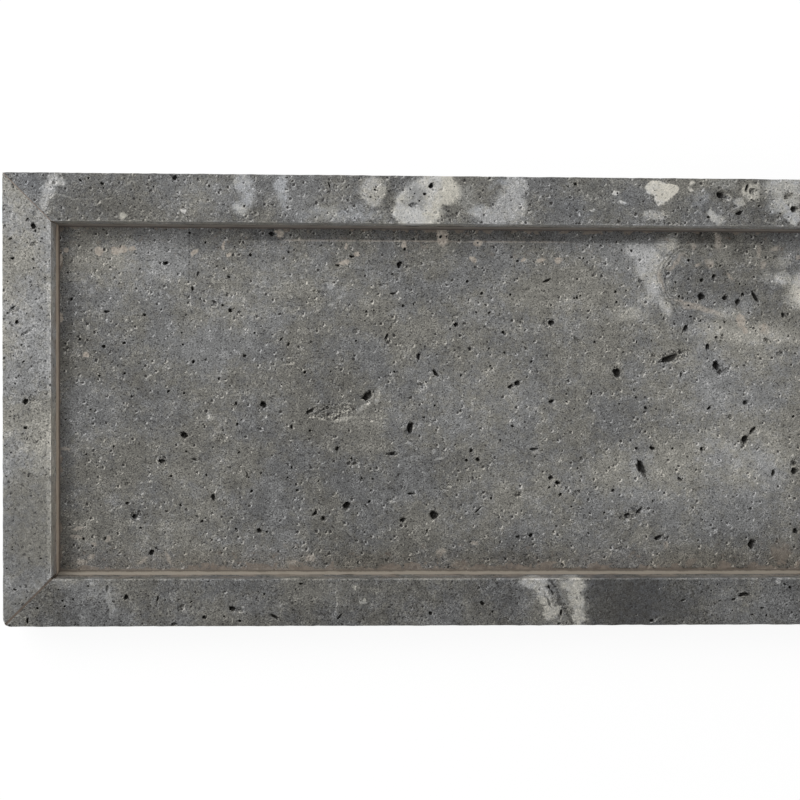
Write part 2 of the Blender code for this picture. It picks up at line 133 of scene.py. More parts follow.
# Pits that the photograph shows. A row is x, y, length and width in pixels, and the turn in degrees,
# anticlockwise, where it isn't 0. A row of three is x, y and width.
FLOOR_HOLES = [
    (369, 394, 14, 8, 45), (312, 410, 11, 4, 30), (264, 406, 8, 7, -60), (337, 450, 6, 4, 80),
    (345.5, 507, 9, 7, 60), (325.5, 518.5, 6, 5), (316, 512, 7, 4, 50), (213.5, 499, 8, 4, -80),
    (260, 531.5, 6, 5, -45), (396, 453.5, 10, 4, 5), (437, 375, 10, 4, -55), (512, 386, 7, 5, 20),
    (518.5, 382.5, 7, 5.5, 30), (409.5, 431, 13, 6.5, 78), (413, 494, 9, 3, -8), (436, 516, 10, 9, -30),
    (404, 519.5, 6, 5, 20), (480, 508.5, 11, 2.5, 40), (552, 478, 6, 5), (559, 483.5, 6, 4, -30),
    (560, 495.5, 5, 3.5, 60), (519, 536.5, 5, 3, 20), (532, 535, 5, 4, 20), (536, 449, 9, 3, 5),
    (553, 401, 6.5, 3.5, 15), (618.5, 375, 12, 8, -60), (717, 367, 9, 7, -70), (746, 402, 6, 4.5, 35),
    (710, 407, 6, 3, 45), (744, 441, 9, 6.5, 60), (751.5, 432, 11, 4, 52), (703.5, 449, 4.5, 4),
    (653.5, 449, 6.5, 4, -35), (642.5, 470, 17, 7, -65), (681, 480, 7, 3, -35), (629, 515, 7, 5),
    (641, 509.5, 10, 4.5, 35), (660, 537, 10, 5, 25), (751, 547, 11, 7, 80), (755.5, 541, 4, 3, 45),
    (773, 475, 9, 4, 78), (795.5, 471, 7, 7), (797, 531, 6, 6), (673, 357, 20, 7, 22), (667, 359, 7, 4, 5),
    (656, 356, 5, 4, 30), (716, 365, 5, 3), (707.5, 348.5, 9, 4, 85), (703, 297.5, 8, 8, -40),
    (726, 297, 6, 5, 45), (737.5, 303, 7, 5, 75), (757, 300, 15, 4, -60), (783.5, 316, 7, 3.5, -75),
    (701.5, 281, 5, 4, 60), (713.5, 277, 5, 4, 70), (690, 260, 4, 3, 20), (684.5, 330, 11, 4, 60),
    (664, 331.5, 8, 2.5, 85), (742.5, 295, 4.5, 3.5, 60), (398.5, 266, 8, 5.5, 60),
    (393, 273.5, 3.5, 1.8, 30), (273, 234, 7, 5, -10), (340, 265.5, 6, 2.5), (353, 256.5, 5, 3),
    (549, 279.5, 10, 3, 25), (552.5, 322.5, 6, 6), (457, 324, 6, 5, 30), (418.5, 358, 8, 4, 85),
    (282, 338, 6, 2, 50), (287.5, 346.5, 7, 2.5, 65), (386, 338, 8, 3, 70), (394, 293.5, 6, 2.5),
    (108, 311.5, 6, 3, 5), (167, 263, 6, 4), (186, 436, 9, 6.5, -25), (163, 461, 7, 5),
    (197, 460, 7, 2.5, -10), (135.5, 516.5, 6, 5, 10), (151, 554, 7, 5, 75), (104.5, 539.5, 5, 3, 60),
    (681, 376, 7, 2.5, 85), (197.5, 275, 6, 2, 75), (325, 225.8, 8, 2), (381, 226.2, 9, 2),
    (56.3, 226.5, 4, 2, 80), (247, 477, 8, 2, 88), (291.5, 428, 5, 3, 85), (236, 405, 5, 3, 85),
]
FLOOR_DISHES = [
    (339, 410, 40, 13, 12), (328, 412, 16, 7, 20), (634.5, 512, 20, 12, 25), (677, 355, 30, 11, 20),
    (725, 371, 12, 10), (424, 385, 9, 8, 20), (447, 487, 12, 8, 10), (519, 495, 7, 6), (578, 492, 9, 6, 30),
    (224, 438, 9, 8), (162, 459, 10, 8), (137, 514, 10, 9, 30), (549, 323, 10, 8), (333, 496, 10, 3, 55),
    (393, 498.5, 10, 6, 20), (356, 464, 12, 8, -30), (521, 321, 7, 6), (472, 347, 7, 5, 50),
    (323, 294, 8, 6, -30), (316, 291, 5, 3), (214, 306, 7, 5, 60), (357, 331, 6, 5), (394, 324, 14, 3, 50),
    (582, 343, 13, 3, -35), (291, 363, 11, 3), (229, 505, 11, 3, -40), (796, 465, 12, 9, 80),
    (714, 531, 6, 5, 60), (581, 461, 6, 5, 70), (730, 418, 6, 4, 80), (636, 382, 4, 3), (655, 355, 6, 5),
    (703, 321, 6, 3), (762, 315, 7, 3, 80), (676, 288.5, 5, 4), (642, 281, 6, 2.5), (623, 285, 6, 3, 20),
    (229, 295, 5, 4), (273, 533, 5, 3), (261.5, 429, 6, 4), (435, 433, 5, 4, 60), (526, 536, 8, 3, 10),
    (768, 341, 8, 4, -30), (782, 352, 10, 6, 40), (500, 315, 7, 2, 88), (456, 316, 6, 3), (240, 312, 4, 3),
    (383, 285, 6, 3), (128, 484, 5, 4), (96, 352, 3, 3), (635, 390, 3, 3), (722, 337, 5, 3, 70),
]
FLOOR_PITS = [
    (190.5, 233, 3.2), (206, 242, 2.8), (192.5, 288, 4.4), (228.5, 276.5, 3.6), (144, 315, 3.6),
    (71, 300, 3.4), (80, 340, 3.4), (104.5, 347, 4.2), (125, 343, 3.8), (194, 361, 4.2), (230, 309.5, 4.4),
    (222, 305, 3), (244, 356, 4.2), (184, 394, 3.2), (132, 397, 3.2), (100, 376, 3), (169, 391, 3.4),
    (405, 248.5, 3.6), (250, 254.5, 3.4), (288, 252, 2.6), (440.5, 237, 3.4), (446.5, 237, 1.9),
    (478, 243, 2), (518.5, 261, 3.4), (584, 258, 2.4), (622, 250, 2.6), (631, 250.5, 2.8), (592, 237, 2.2),
    (467, 282, 3.4), (482, 294, 3.6), (511, 295, 3.2), (404, 305.5, 3.6), (414, 304, 2.6), (577, 297, 3.2),
    (574, 298, 2.6), (580, 296, 2.4), (615.5, 292.5, 3.4), (617, 302.5, 3), (477, 312.5, 3),
    (490, 312.5, 3.4), (450.5, 328.5, 2.6), (503, 332, 3.8), (594, 342, 3), (531, 362, 3.2),
    (489, 349, 2.8), (505, 353, 3), (491, 366, 2.8), (305.5, 371.5, 4), (219, 378, 3.4), (394, 371.5, 3),
    (355.5, 341, 2.8), (366, 312, 2.8), (374, 311, 2.4), (238, 424.5, 3.6), (311, 430.5, 3.6),
    (292, 467, 3.4), (230, 467, 2.4), (206, 475, 2.8), (260.5, 473.5, 2.8), (251.5, 492, 3.6),
    (288, 478, 2.6), (298, 490.5, 4), (319, 481, 3), (369.5, 501, 3.6), (361.5, 477.5, 3), (372.5, 479, 3),
    (351, 459, 3), (202, 522, 4), (236.5, 529.5, 3), (267.5, 532, 3.2), (461.5, 375, 3.4), (471, 450, 4.4),
    (477, 459, 4.6), (466, 460.5, 3.6), (549, 488, 3), (491.5, 499, 3.2), (572, 507, 3), (614, 490, 4),
    (592, 393, 3.2), (427, 530, 3), (512, 426, 3.6), (636, 448.5, 3.6), (672.5, 449, 2.8), (722, 521, 2.2),
    (750, 520, 2.2), (672, 382, 2.4), (636, 397, 2.8), (645, 407, 4), (619, 404, 2.4), (793, 417, 3.2),
    (740, 284.5, 2.6), (746, 285, 2.2), (721, 266, 3), (688, 293, 2.4), (688, 298, 2.2), (688, 305, 2.4),
    (693, 297, 2), (679, 297, 3.2), (676, 283, 2.6), (691.5, 317, 3.4), (717, 337, 3.4), (637, 341.5, 3),
    (651.5, 340.5, 2), (724, 322, 2.6), (170.5, 476.5, 3.2), (127, 504, 3.8), (181, 506, 3),
    (167.5, 511.5, 3.2), (84, 538.5, 3.2), (114, 446, 2.8), (186, 451, 2.8), (140, 528, 3), (65, 420, 2.8),
    (68, 273, 2.6), (183.5, 345, 2.8), (186.5, 315, 2.4), (125, 373, 3), (239, 452, 2.8), (248.5, 477, 2.4),
    (604, 513, 2.8), (535, 457, 2.4), (653, 502, 3), (703, 520, 2.4), (575, 409, 2.6), (435, 405, 2.8),
    (424, 417, 2.6), (500, 440, 2.6), (90, 410, 2.6), (86, 455, 2.4), (331, 372, 2.4), (255, 333, 2.4),
]
BACK_RAIL_HOLES = [
    (174, 178.5, 6, 5, 60), (722, 195, 8, 7, 10), (746.5, 189, 8, 3, 78), (741, 212, 8, 4, 30),
    (709.5, 217, 4, 3), (425.5, 194, 4, 3), (432, 184.5, 6, 4, 50), (576.5, 184, 4.5, 3),
    (103, 183.5, 4.5, 3, -10), (81, 181, 4, 2.5, -50), (330, 187, 8, 1.8, -70), (795, 209, 7, 6),
    (760, 206, 3.4, 3), (371, 197, 2.6, 2), (375.5, 189.5, 2.4, 2), (89, 178, 2.6, 2.2),
]
BACK_RAIL_DISHES = [
    (727, 198, 8, 6), (790, 195, 11, 5, 35), (735, 206, 8, 5, 20), (754, 191, 7, 6), (415, 205, 9, 5),
]
BACK_RAIL_PITS = [
    (99, 180, 2), (104, 187.5, 2.2), (124, 178, 2), (32, 186, 2), (73, 191, 2), (120, 204, 2.2),
    (140, 200, 2.2), (154, 187, 2), (347, 187, 2.2), (529, 184, 2), (568, 186, 2.6), (410, 189, 2),
    (419, 201, 2.2), (413, 197, 1.8), (751, 223, 2.2), (781, 214, 3), (618, 193, 2.4), (655, 190, 1.4),
    (656, 195, 1.4), (700, 200, 2),
]
LEFT_RAIL_HOLES = [
    (34, 227, 7, 5, -50), (35.5, 231.5, 4, 2.5, -80), (11, 238, 4.5, 2.2, 40), (13.5, 258, 4.5, 3, 10),
    (17.5, 322, 4.5, 4), (13.5, 307, 4.5, 2.5, 30), (14, 315, 4, 2.5, -30), (34, 260, 4.5, 1.8, -40),
    (25, 403, 7.5, 5.5, 70), (26, 428, 4, 3), (24, 361, 4, 2, 40), (16, 590, 4, 2.2),
]
LEFT_RAIL_DISHES = [(17, 309, 11, 7, 30), (30, 331, 14, 3, 25), (36, 243, 8, 4, 20), (31, 400, 6, 7, 60)]
LEFT_RAIL_PITS = [
    (8, 313, 2.6), (27, 313, 2), (33, 316, 1.8), (40, 320, 2), (21, 345, 2.2), (13, 356, 2.2),
    (28, 219, 2.2), (4, 206, 2), (4.5, 209, 2), (16, 247, 1.8), (32, 244, 2), (38, 237, 2.4),
    (25, 279, 1.8), (45, 278, 2), (19, 292, 2), (34, 268, 2.2), (8, 281, 1.8), (11, 452, 2.2), (12, 547, 2),
    (8, 509, 2), (12, 550, 2), (6, 477, 2), (7, 569, 2.4), (29, 563, 2), (41, 241, 2), (6, 300, 1.8),
    (10, 411, 2),
]
FRONT_RAIL_HOLES = [
    (125.5, 599, 7, 4.5, 70), (27, 622.5, 7, 3, 80), (176, 624, 8, 4, 10), (234, 609, 8, 5.5, -10),
    (205.5, 617.5, 5, 4), (278.5, 619, 13, 3.5, -28), (341, 615.5, 9, 3, 42), (157, 601, 8, 2.6, 75),
    (549.5, 588, 5, 3, -60), (553.5, 594, 6, 1.8, -60), (561, 616, 9, 3, 85), (561.5, 624, 5, 3),
    (483.5, 604, 6, 4, -35), (654.5, 620, 7, 3.5, 15), (684.5, 600, 7, 2.6, 15), (735, 599, 6, 3, 20),
    (721, 600.5, 5, 2.2, 15), (747.5, 594, 14, 4.5, 8), (792, 588.5, 5, 3, -30), (786, 585, 5, 2, -35),
    (763.5, 608, 4.5, 2.6), (431.5, 613.5, 4.5, 3.8), (302, 584, 4.5, 2.6), (240.5, 621, 3.6, 3),
]
FRONT_RAIL_DISHES = [
    (183, 607, 8, 6, 30), (241, 610, 8, 5), (107, 590, 7, 3, 80), (226, 592, 4, 3), (777, 580, 9, 4),
]
FRONT_RAIL_PITS = [
    (63, 601, 2.6), (65, 606, 3), (73, 599, 2.8), (37, 608, 3), (191, 602, 2.4), (224, 617, 2.8),
    (264.5, 595, 3), (296, 602, 2.2), (313, 602, 2), (493, 611, 3), (766.5, 615, 3), (752, 614.5, 2.6),
    (732, 611, 2.2), (700, 585, 2.6), (718, 585, 2.4), (712, 591, 2.4), (664, 587, 2.2), (659, 588, 2),
    (792, 612, 2.6), (165, 600, 2), (190, 603, 2), (403, 618, 2.2), (498, 619, 2), (515, 596, 2),
    (750, 602, 2), (590, 603, 1.8), (88, 586, 2.2), (58, 590, 2), (170, 612, 2), (141, 592, 2),
    (358, 610, 1.8), (637, 615, 2.2), (450, 589, 2),
]
SHOWN_PITS = {
    "back": (BACK_RAIL_HOLES, BACK_RAIL_DISHES, BACK_RAIL_PITS),
    "front": (FRONT_RAIL_HOLES, FRONT_RAIL_DISHES, FRONT_RAIL_PITS),
    "left": (LEFT_RAIL_HOLES, LEFT_RAIL_DISHES, LEFT_RAIL_PITS),
    "right": ((), (), ()),
}

# Strewn pits: the kind, how many on a full length, and the least and the largest length in millimetres
STREWN = {
    "shown top": [("pit", 13.5, 0.8, 1.3), ("pinhole", 110, 0.4, 0.8)],
    "unseen top": [("hole", 26, 1.2, 3), ("pit", 58.5, 0.8, 1.3), ("pinhole", 110, 0.4, 0.8)],
    "outside": [("hole", 26, 1.2, 4), ("pit", 60, 0.8, 1.4), ("pinhole", 90, 0.4, 0.8)],
    "underside": [("hole", 16, 1.2, 4), ("pit", 40, 0.8, 1.4)],
    "unseen floor": [("hole", 14, 1.4, 5), ("pit", 26, 0.8, 1.4)],
    "floor": [("pit", 60, 0.7, 1.0), ("pinhole", 250, 0.35, 0.75)],
    "floor's underside": [("hole", 22, 1.4, 6), ("pit", 90, 0.8, 1.4)],
}
STREWN_MARGIN = 0.8 * MM
SMALL_SIZE_BIAS = 2.2

# Depths of the pits as shares of their widths, and the deepest that one goes
HOLE_DEPTH_SHARE = 1.15
LEAST_HOLE_DEPTH = 0.6 * MM
DEEPEST_HOLE = 4.2 * MM
DISH_DEPTH = 0.8 * MM
PIT_DEPTH_SHARE = 1.2
PIT_WIDTH_SHARE = 0.8
PIT_TURN_STEP = 47
PINHOLE_DEPTH_SHARE = 1.1

# Kinds of pit: sides, subdivisions, how far its wall strays, the size of its lumps, its profile from the cap
# down, and how many forms are made. A profile row is a radius and a level. The mouth has radius 0.5 and the
# bottom is at -1.
PitKind = namedtuple("PitKind", "sides cuts stray lump profile count")
OPEN_PROFILE = (
    (0.86, 0.9), (0.76, 0.14), (0.5, -0.12), (0.45, -0.35), (0.42, -0.6), (0.33, -0.85), (0.14, -1.0),
)
DISH_PROFILE = ((0.80, 0.9), (0.70, 0.3), (0.53, -0.3), (0.42, -0.75), (0.22, -1.0))
SMALL_PROFILE = ((0.84, 0.8), (0.74, 0.15), (0.48, -0.15), (0.38, -0.6), (0.16, -1.0))
PIN_PROFILE = ((0.60, 0.6), (0.5, -0.05), (0.26, -1.0))
PIT_KINDS = {
    "hole": PitKind(13, 1, 0.46, 0.34, OPEN_PROFILE, 10),
    "dish": PitKind(14, 1, 0.44, 0.30, DISH_PROFILE, 8),
    "pit": PitKind(9, 0, 0.44, 0.42, SMALL_PROFILE, 8),
    "pinhole": PitKind(6, 0, 0.20, 0.5, PIN_PROFILE, 4),
}
CLEARANCE = 1.25
STREWN_CLEARANCE = 0.6
BEND_LUMP = 0.75
BEND = 0.5
MOST_LAYERS = 3
LEAN = 0.2
# How far apart the forms stand while they are ruffled, so that each gets its own part of the noise
FORM_GAP = 5.9
KIND_GAP = 3.1
Pit = namedtuple("Pit", "kind place outward length width depth turn")


class Socket:
    """An output of a material's nodes. Arithmetic on it adds Math nodes."""

    def __init__(self, recipe, link):
        self.recipe = recipe
        self.link = link

    def __add__(self, other):
        return self.recipe.math("ADD", self, other)

    __radd__ = __add__

    def __sub__(self, other):
        return self.recipe.math("SUBTRACT", self, other)

    def __rsub__(self, other):
        return self.recipe.math("SUBTRACT", other, self)

    def __mul__(self, other):
        return self.recipe.math("MULTIPLY", self, other)

    __rmul__ = __mul__

    def __neg__(self):
        return self.recipe.math("MULTIPLY", self, -1)

    def __abs__(self):
        return self.recipe.math("ABSOLUTE", self)


class Recipe:
    """A material, or the world, while its nodes are being added."""

    def __init__(self, owner):
        self.owner = owner
        owner.use_nodes = True
        self.tree = owner.node_tree
        self.tree.nodes.clear()
        self.place = self.node("ShaderNodeTexCoord", output="Object")

    def node(self, kind, settings=None, inputs=None, output=0):
        """Adds a node: its settings first, then a value or a link for each socket that is named."""
        made = self.tree.nodes.new(kind)
        for name, value in (settings or {}).items():
            if name == "stops":
                set_stops(made.color_ramp, value)
            else:
                setattr(made, name, value)
        for name, value in (inputs or {}).items():
            if isinstance(value, Socket):
                self.tree.links.new(value.link, made.inputs[name])
            else:
                made.inputs[name].default_value = value
        return Socket(self, made.outputs[output]) if len(made.outputs) else made

    def math(self, operation, first, second=0.0):
        """A number worked out from two others."""
        return self.node("ShaderNodeMath", {"operation": operation}, {0: first, 1: second})

    def most(self, values):
        """The largest of several numbers."""
        found = None
        for value in values:
            found = self.math("MAXIMUM", found, value) if found else value
        return found

    def vector(self, operation, first, second=(0, 0, 0), output=0):
        """A vector, or a number, worked out from two vectors."""
        return self.node("ShaderNodeVectorMath", {"operation": operation}, {0: first, 1: second}, output)

    def dot(self, first, second):
        """How far one vector reaches along another."""
        return self.vector("DOT_PRODUCT", first, second, "Value")

    def fade(self, value, none, full):
        """0 up to one value and 1 from another, with a smooth rise between."""
        values = {"Value": value, "From Min": none, "From Max": full}
        return self.node("ShaderNodeMapRange", {"interpolation_type": "SMOOTHSTEP"}, values)

    def noise(self, size, detail=2.0, roughness=0.5, place=None, output="Fac"):
        """Cloudy noise with features of a size."""
        values = {"Vector": place or self.place, "Scale": 1 / size, "Detail": detail, "Roughness": roughness}
        return self.node("ShaderNodeTexNoise", None, values, output)

    def cells(self, size, output, place=None):
        """Cells of a size: a random colour for each, or its point, or the distance from that point."""
        values = {"Vector": place or self.place, "Scale": 1 / size}
        return self.node("ShaderNodeTexVoronoi", None, values, output)

    def part(self, vector, axis):
        """One coordinate of a vector, or one channel of a colour."""
        return self.node("ShaderNodeSeparateXYZ", None, {"Vector": vector}, axis)

    def at(self, axis):
        """One coordinate of the point that is shaded."""
        return self.part(self.place, axis)

    def normal(self):
        """The way that the bare mesh faces."""
        return self.node("ShaderNodeNewGeometry", output="True Normal")

    def blend(self, share, first, second, how="MIX"):
        """A mix of two colours."""
        settings = {"data_type": "RGBA", "blend_type": how}
        return self.node("ShaderNodeMix", settings, {0: share, 6: first, 7: second}, 2)

    def towards(self, value, target, share):
        """A number moved towards another by a share."""
        return value + share * (target - value)

    def wobble(self, place, size, reach, detail=2.0):
        """A place moved about by noise."""
        cloud = self.noise(size, detail, place=place, output="Color")
        stray = self.vector("SUBTRACT", cloud, (0.5, 0.5, 0.5))
        return self.vector("ADD", place, self.vector("MULTIPLY", stray, (reach, reach, reach)))

    def strayed(self, *steps):
        """The shaded point moved about by noise. A step is a size and a reach, and may have a detail."""
        place = self.place
        for step in steps:
            place = self.wobble(place, *step)
        return place

    def patch(self, place, level, softness, x, y, half_length, half_width, turn=0):
        """1 inside an ellipse at a pixel, 0 outside. Its halves are in pixels and its turn in degrees."""
        reach = 1 + softness
        values = {
            "Vector": place,
            "Location": on_level(x, y, level),
            "Rotation": (0, 0, radians(turn)),
            "Scale": (half_length * reach * PIXEL, half_width * reach * PIXEL, PATCH_DEPTH * reach * MM),
        }
        seen = self.node("ShaderNodeMapping", {"vector_type": "TEXTURE"}, values)
        near = self.node("ShaderNodeTexGradient", {"gradient_type": "SPHERICAL"}, {"Vector": seen}, "Fac")
        return self.fade(near, 0, 2 * softness / reach)

    def patches(self, place, level, rows, softness):
        """1 inside any of several ellipses, which are added one by one to spare the shader's memory."""
        return self.most(self.patch(place, level, softness, *row) for row in rows)

    def finish(self, colour, roughness, height=None, distance=0.2 * MM):
        """Adds the shader and returns the material."""
        values = {"Base Color": colour, "Roughness": roughness, "Specular IOR Level": 0.35}
        if height is not None:
            bump = {"Height": height, "Distance": distance, "Strength": 1.0}
            values["Normal"] = self.node("ShaderNodeBump", None, bump)
        shader = self.node("ShaderNodeBsdfPrincipled", None, values)
        self.node("ShaderNodeOutputMaterial", None, {"Surface": shader})
        return self.owner


def set_stops(ramp, stops):
    """Gives a colour ramp its stops, each a place from 0 to 1 and a colour."""
    for place, _ in stops[2:]:
        ramp.elements.new(place)
    for element, (place, colour) in zip(ramp.elements, stops):
        element.position = place
        element.color = colour


def new_recipe(name):
    """The recipe of a new material."""
    return Recipe(bpy.data.materials.new(name))


# Stone: the colour for each lightness, where 0 looks black and 1 white
STONE_RAMP = [
    (0.0, paint(12, 11, 10)),
    (0.2, paint(51, 49, 46)),
    (0.35, paint(89, 89, 87)),
    (0.45, paint(115, 115, 112)),
    (0.55, paint(141, 141, 137)),
    (0.68, paint(175, 175, 171)),
    (0.85, paint(222, 221, 215)),
    (1.0, paint(248, 246, 240)),
]
COOL_TINT = (0.985, 0.99, 1.045, 1)
WARM_TINT = (1.035, 1.0, 0.945, 1)
CREAM_TINT = (1.0, 1.0, 0.985, 1)
VEIN_TINT = (0.975, 0.995, 1.035, 1)
FRONT_WARM_TINT = (1.03, 0.995, 0.95, 1)
WALL_RESIN = paint(172, 158, 146)
SMEAR_COLOURS = (paint(120, 108, 98), paint(148, 136, 124))
FILLED_PORE_COLOURS = (paint(212, 203, 191), paint(178, 167, 155))
# The lightness of a pit's calcite lip, which shows as a painted highlight on the side that faces the light,
# of crystals, and of the painted shade deep in pits
CALCITE_HIGHLIGHT_TONE = 0.76
CRYSTAL_TONE = 0.70
HOLLOW_SHADE_TONE = 0.16

# Each rail's lightness, its place in the noise, how much of it has pores, the strength of its bright grains
# and of the painted highlights on pore rims, how much painted light lightens its wall and how far the wall is
# covered with resin, the width and strength of the pale line on its edge, and its scuffed arris
Look = namedtuple("Look", "tone seed pores bright wall_lift wall_resin line_width line_lift scuff")
LOOKS = {
    "back": Look(0.448, 5, 0.25, 1.0, 0.15, 0.3, 0.9 * MM, 0.06, 0.12),
    "front": Look(0.387, 8, 0.22, 0.5, 0.10, 0.8, 1.0 * MM, 0.16, 0.12),
    "left": Look(0.584, 11, 0.25, 0.35, 0.17, 0.8, 2.4 * MM, 0.09, 0.36),
    "right": Look(0.47, 14, 0.24, 0.7, 0.12, 0.8, 1.0 * MM, 0.08, 0.16),
}
FLOOR_TONE = 0.47
FLOOR_SEED = 3
FLOOR_PORES = 0.17
FLOOR_GLITTER = 1.2
FLOOR_DISH_LIFT = 0.04

# Painted pores: the cells that they lie in, and how fast they grow from the least to the largest
PORE_CELL = 2.0 * MM
PORE_GROWTH = 2.1
# The step towards the lower right over which the grain's painted relief shading is worked out
PAINTED_RELIEF_STEP = Vector((0.24 * MM, -0.19 * MM, 0))
PATCH_DEPTH = 14

# Insides of pits: where the painted shade of the depth starts and where it is full, how dark that painted
# shade is, and how strong the crust is
HOLLOW_LOOKS = {
    "hollow": ((0.5 * MM, 2.2 * MM), 0.9, 0.6),
    "dish": ((0.4 * MM, 1.3 * MM), 0.3, 1.5),
    "pore": ((0.15 * MM, 1.0 * MM), 0.92, 0.6),
}


def stone_body(recipe, base, seed, pore_share, bright_share):
    """The stone's slowly changing lightness, its speckle and the height of its grain, with painted relief
    shading in the speckle and painted highlight and shade on the sides of its pores.
    """
    own = recipe.vector("ADD", recipe.place, (seed * 0.37, seed * 0.61, seed * 0.23))
    clouds = recipe.noise(38 * MM, 3.0, 0.55, own) - 0.5
    mottle = recipe.noise(6 * MM, 2.0, 0.6, own) - 0.5
    fine = recipe.noise(0.56 * MM, 2.0, 0.8, own) - 0.5
    cell = recipe.cells(0.6 * MM, "Color", own)
    crystal = recipe.part(cell, "X") - 0.5
    soot = recipe.fade(crystal, -0.37, -0.47)
    sparkle = recipe.fade(recipe.part(cell, "Y"), 0.86, 1.0) * recipe.fade(mottle, -0.12, 0.12)
    near = recipe.wobble(own, 0.9 * MM, 1.3 * MM)
    pore_size = recipe.part(recipe.cells(PORE_CELL, "Color", near), "Z")
    pore_gap = recipe.cells(PORE_CELL, "Distance", near) - PORE_GROWTH * (pore_size - (1 - pore_share))
    off_centre = recipe.vector("SUBTRACT", near, recipe.cells(PORE_CELL, "Position", near))
    # Painted highlight and shade on the pores: each is less dark on its side towards the lower right, and its
    # pale calcite rim, a painted highlight, lies only on that side, which faces the light.
    lit_side = recipe.fade(recipe.dot(off_centre, -LIT_WAY), -0.1 * MM, 0.3 * MM)
    pore = recipe.fade(pore_gap, 0.07, -0.06) * (1 - 0.35 * lit_side)
    calcite_rim_highlight = recipe.fade(pore_gap, 0.34, 0.12) * (1 - pore) * lit_side
    # Painted relief shading: the grain is lighter where its bumps rise towards the lower right and so face
    # the light.
    bumps = recipe.noise(1.7 * MM, 2.0, 0.6, own)
    bumps_beside = recipe.noise(1.7 * MM, 2.0, 0.6, recipe.vector("ADD", own, PAINTED_RELIEF_STEP))
    painted_relief_shade = (bumps_beside - bumps) * (0.5 + recipe.fade(mottle, -0.06, 0.12))
    grit = fine * (0.76 + 0.30 * recipe.fade(mottle, -0.02, 0.14)) - 0.13 * recipe.fade(fine, -0.13, -0.23)
    bright = 0.11 * sparkle + 0.25 * calcite_rim_highlight
    grain = grit + 0.08 * crystal - 0.15 * soot - 0.36 * pore + bright_share * bright + 0.36 * painted_relief_shade
    slow = base + 0.01 + 0.26 * clouds + 0.24 * mottle
    height = 0.5 * fine + 0.25 * crystal + 0.5 * bumps - 1.0 * pore
    return slow, grain, height


def tinted(recipe, tone, seed, tints=None):
    """The colour for a lightness, cooler and warmer in clouds. A dictionary gives each more tint its mask."""
    colour = recipe.node("ShaderNodeValToRGB", {"stops": STONE_RAMP}, {"Fac": tone}, "Color")
    own = recipe.vector("ADD", recipe.place, (seed * 0.19, seed * 0.41, 0))
    drift = recipe.noise(24 * MM, place=own) + 0.45 * (recipe.noise(2.2 * MM, place=own) - 0.5)
    tint = recipe.blend(recipe.fade(drift, 0.34, 0.66), COOL_TINT, WARM_TINT)
    colour = recipe.blend(1.0, colour, tint, "MULTIPLY")
    for tint, mask in (tints or {}).items():
        colour = recipe.blend(mask, colour, tint, "MULTIPLY")
    return colour


def slope_of(recipe):
    """1 on a worn edge, where the surface leans halfway between level and upright."""
    lean = abs(recipe.part(recipe.normal(), "Z"))
    return recipe.fade(lean, 0.1, 0.3) * recipe.fade(lean, 0.985, 0.93)


def depth_within(recipe, low, high):
    """How far a point lies under the nearest face of a box."""
    under = recipe.vector("SUBTRACT", high, recipe.place)
    over = recipe.vector("SUBTRACT", recipe.place, low)
    nearest = recipe.vector("MINIMUM", under, over)
    found = recipe.math("MINIMUM", recipe.part(nearest, "X"), recipe.part(nearest, "Y"))
    return recipe.math("MINIMUM", found, recipe.part(nearest, "Z"))


def hollow_stone(name, low, high, base, seed, depths, shade_share, crust_share):
    """The inside of a pit: a pale lip of calcite with a painted highlight on the side that faces the light,
    and painted shade that deepens with depth and on the side turned from the light.
    """
    recipe = new_recipe(name)
    slow, grain, height = stone_body(recipe, base, seed, 0.3, 1.0)
    depth = depth_within(recipe, low, high)
    crust = recipe.noise(0.8 * MM, 2.0, 0.7)
    facing_light = recipe.dot(recipe.normal(), LIT_WAY)
    # Painted highlight: the calcite lip shows only where the pit's wall faces the light.
    calcite_lip_highlight = recipe.fade(depth, 0.0, 0.05 * MM) * recipe.fade(depth, 1.0 * MM, 0.4 * MM)
    calcite_lip_highlight = calcite_lip_highlight * recipe.fade(facing_light, 0.0, 0.4) * recipe.fade(recipe.noise(2.2 * MM, 1.0), 0.30, 0.48)
    tone = recipe.towards(slow + grain, CALCITE_HIGHLIGHT_TONE, 0.9 * calcite_lip_highlight)
    depth = depth + 1.2 * MM * (recipe.noise(1.3 * MM, 2.0, 0.6) - 0.5)
    tone = tone + crust_share * (crust - 0.5)
    # Painted shade: darker with depth, and more so on the side turned from the light.
    dark = shade_share * recipe.fade(depth, *depths) * (1 - 0.4 * recipe.fade(facing_light, 0.1, 0.7))
    colour = tinted(recipe, recipe.towards(tone, HOLLOW_SHADE_TONE, dark), seed)
    return recipe.finish(colour, 0.75, height + 1.5 * crust, 0.3 * MM)


def hollow_finishes(name, low, high, base, seed, dish_lift=0.0):
    """The insides of a piece's pits, one for each of PIT_KINDS. Pits and pinholes share theirs."""
    made = []
    for look, values in HOLLOW_LOOKS.items():
        tone = base + dish_lift if look == "dish" else base
        made.append(hollow_stone(f"{name}_{look}", low, high, tone, seed, *values))
    return [*made, made[-1]]


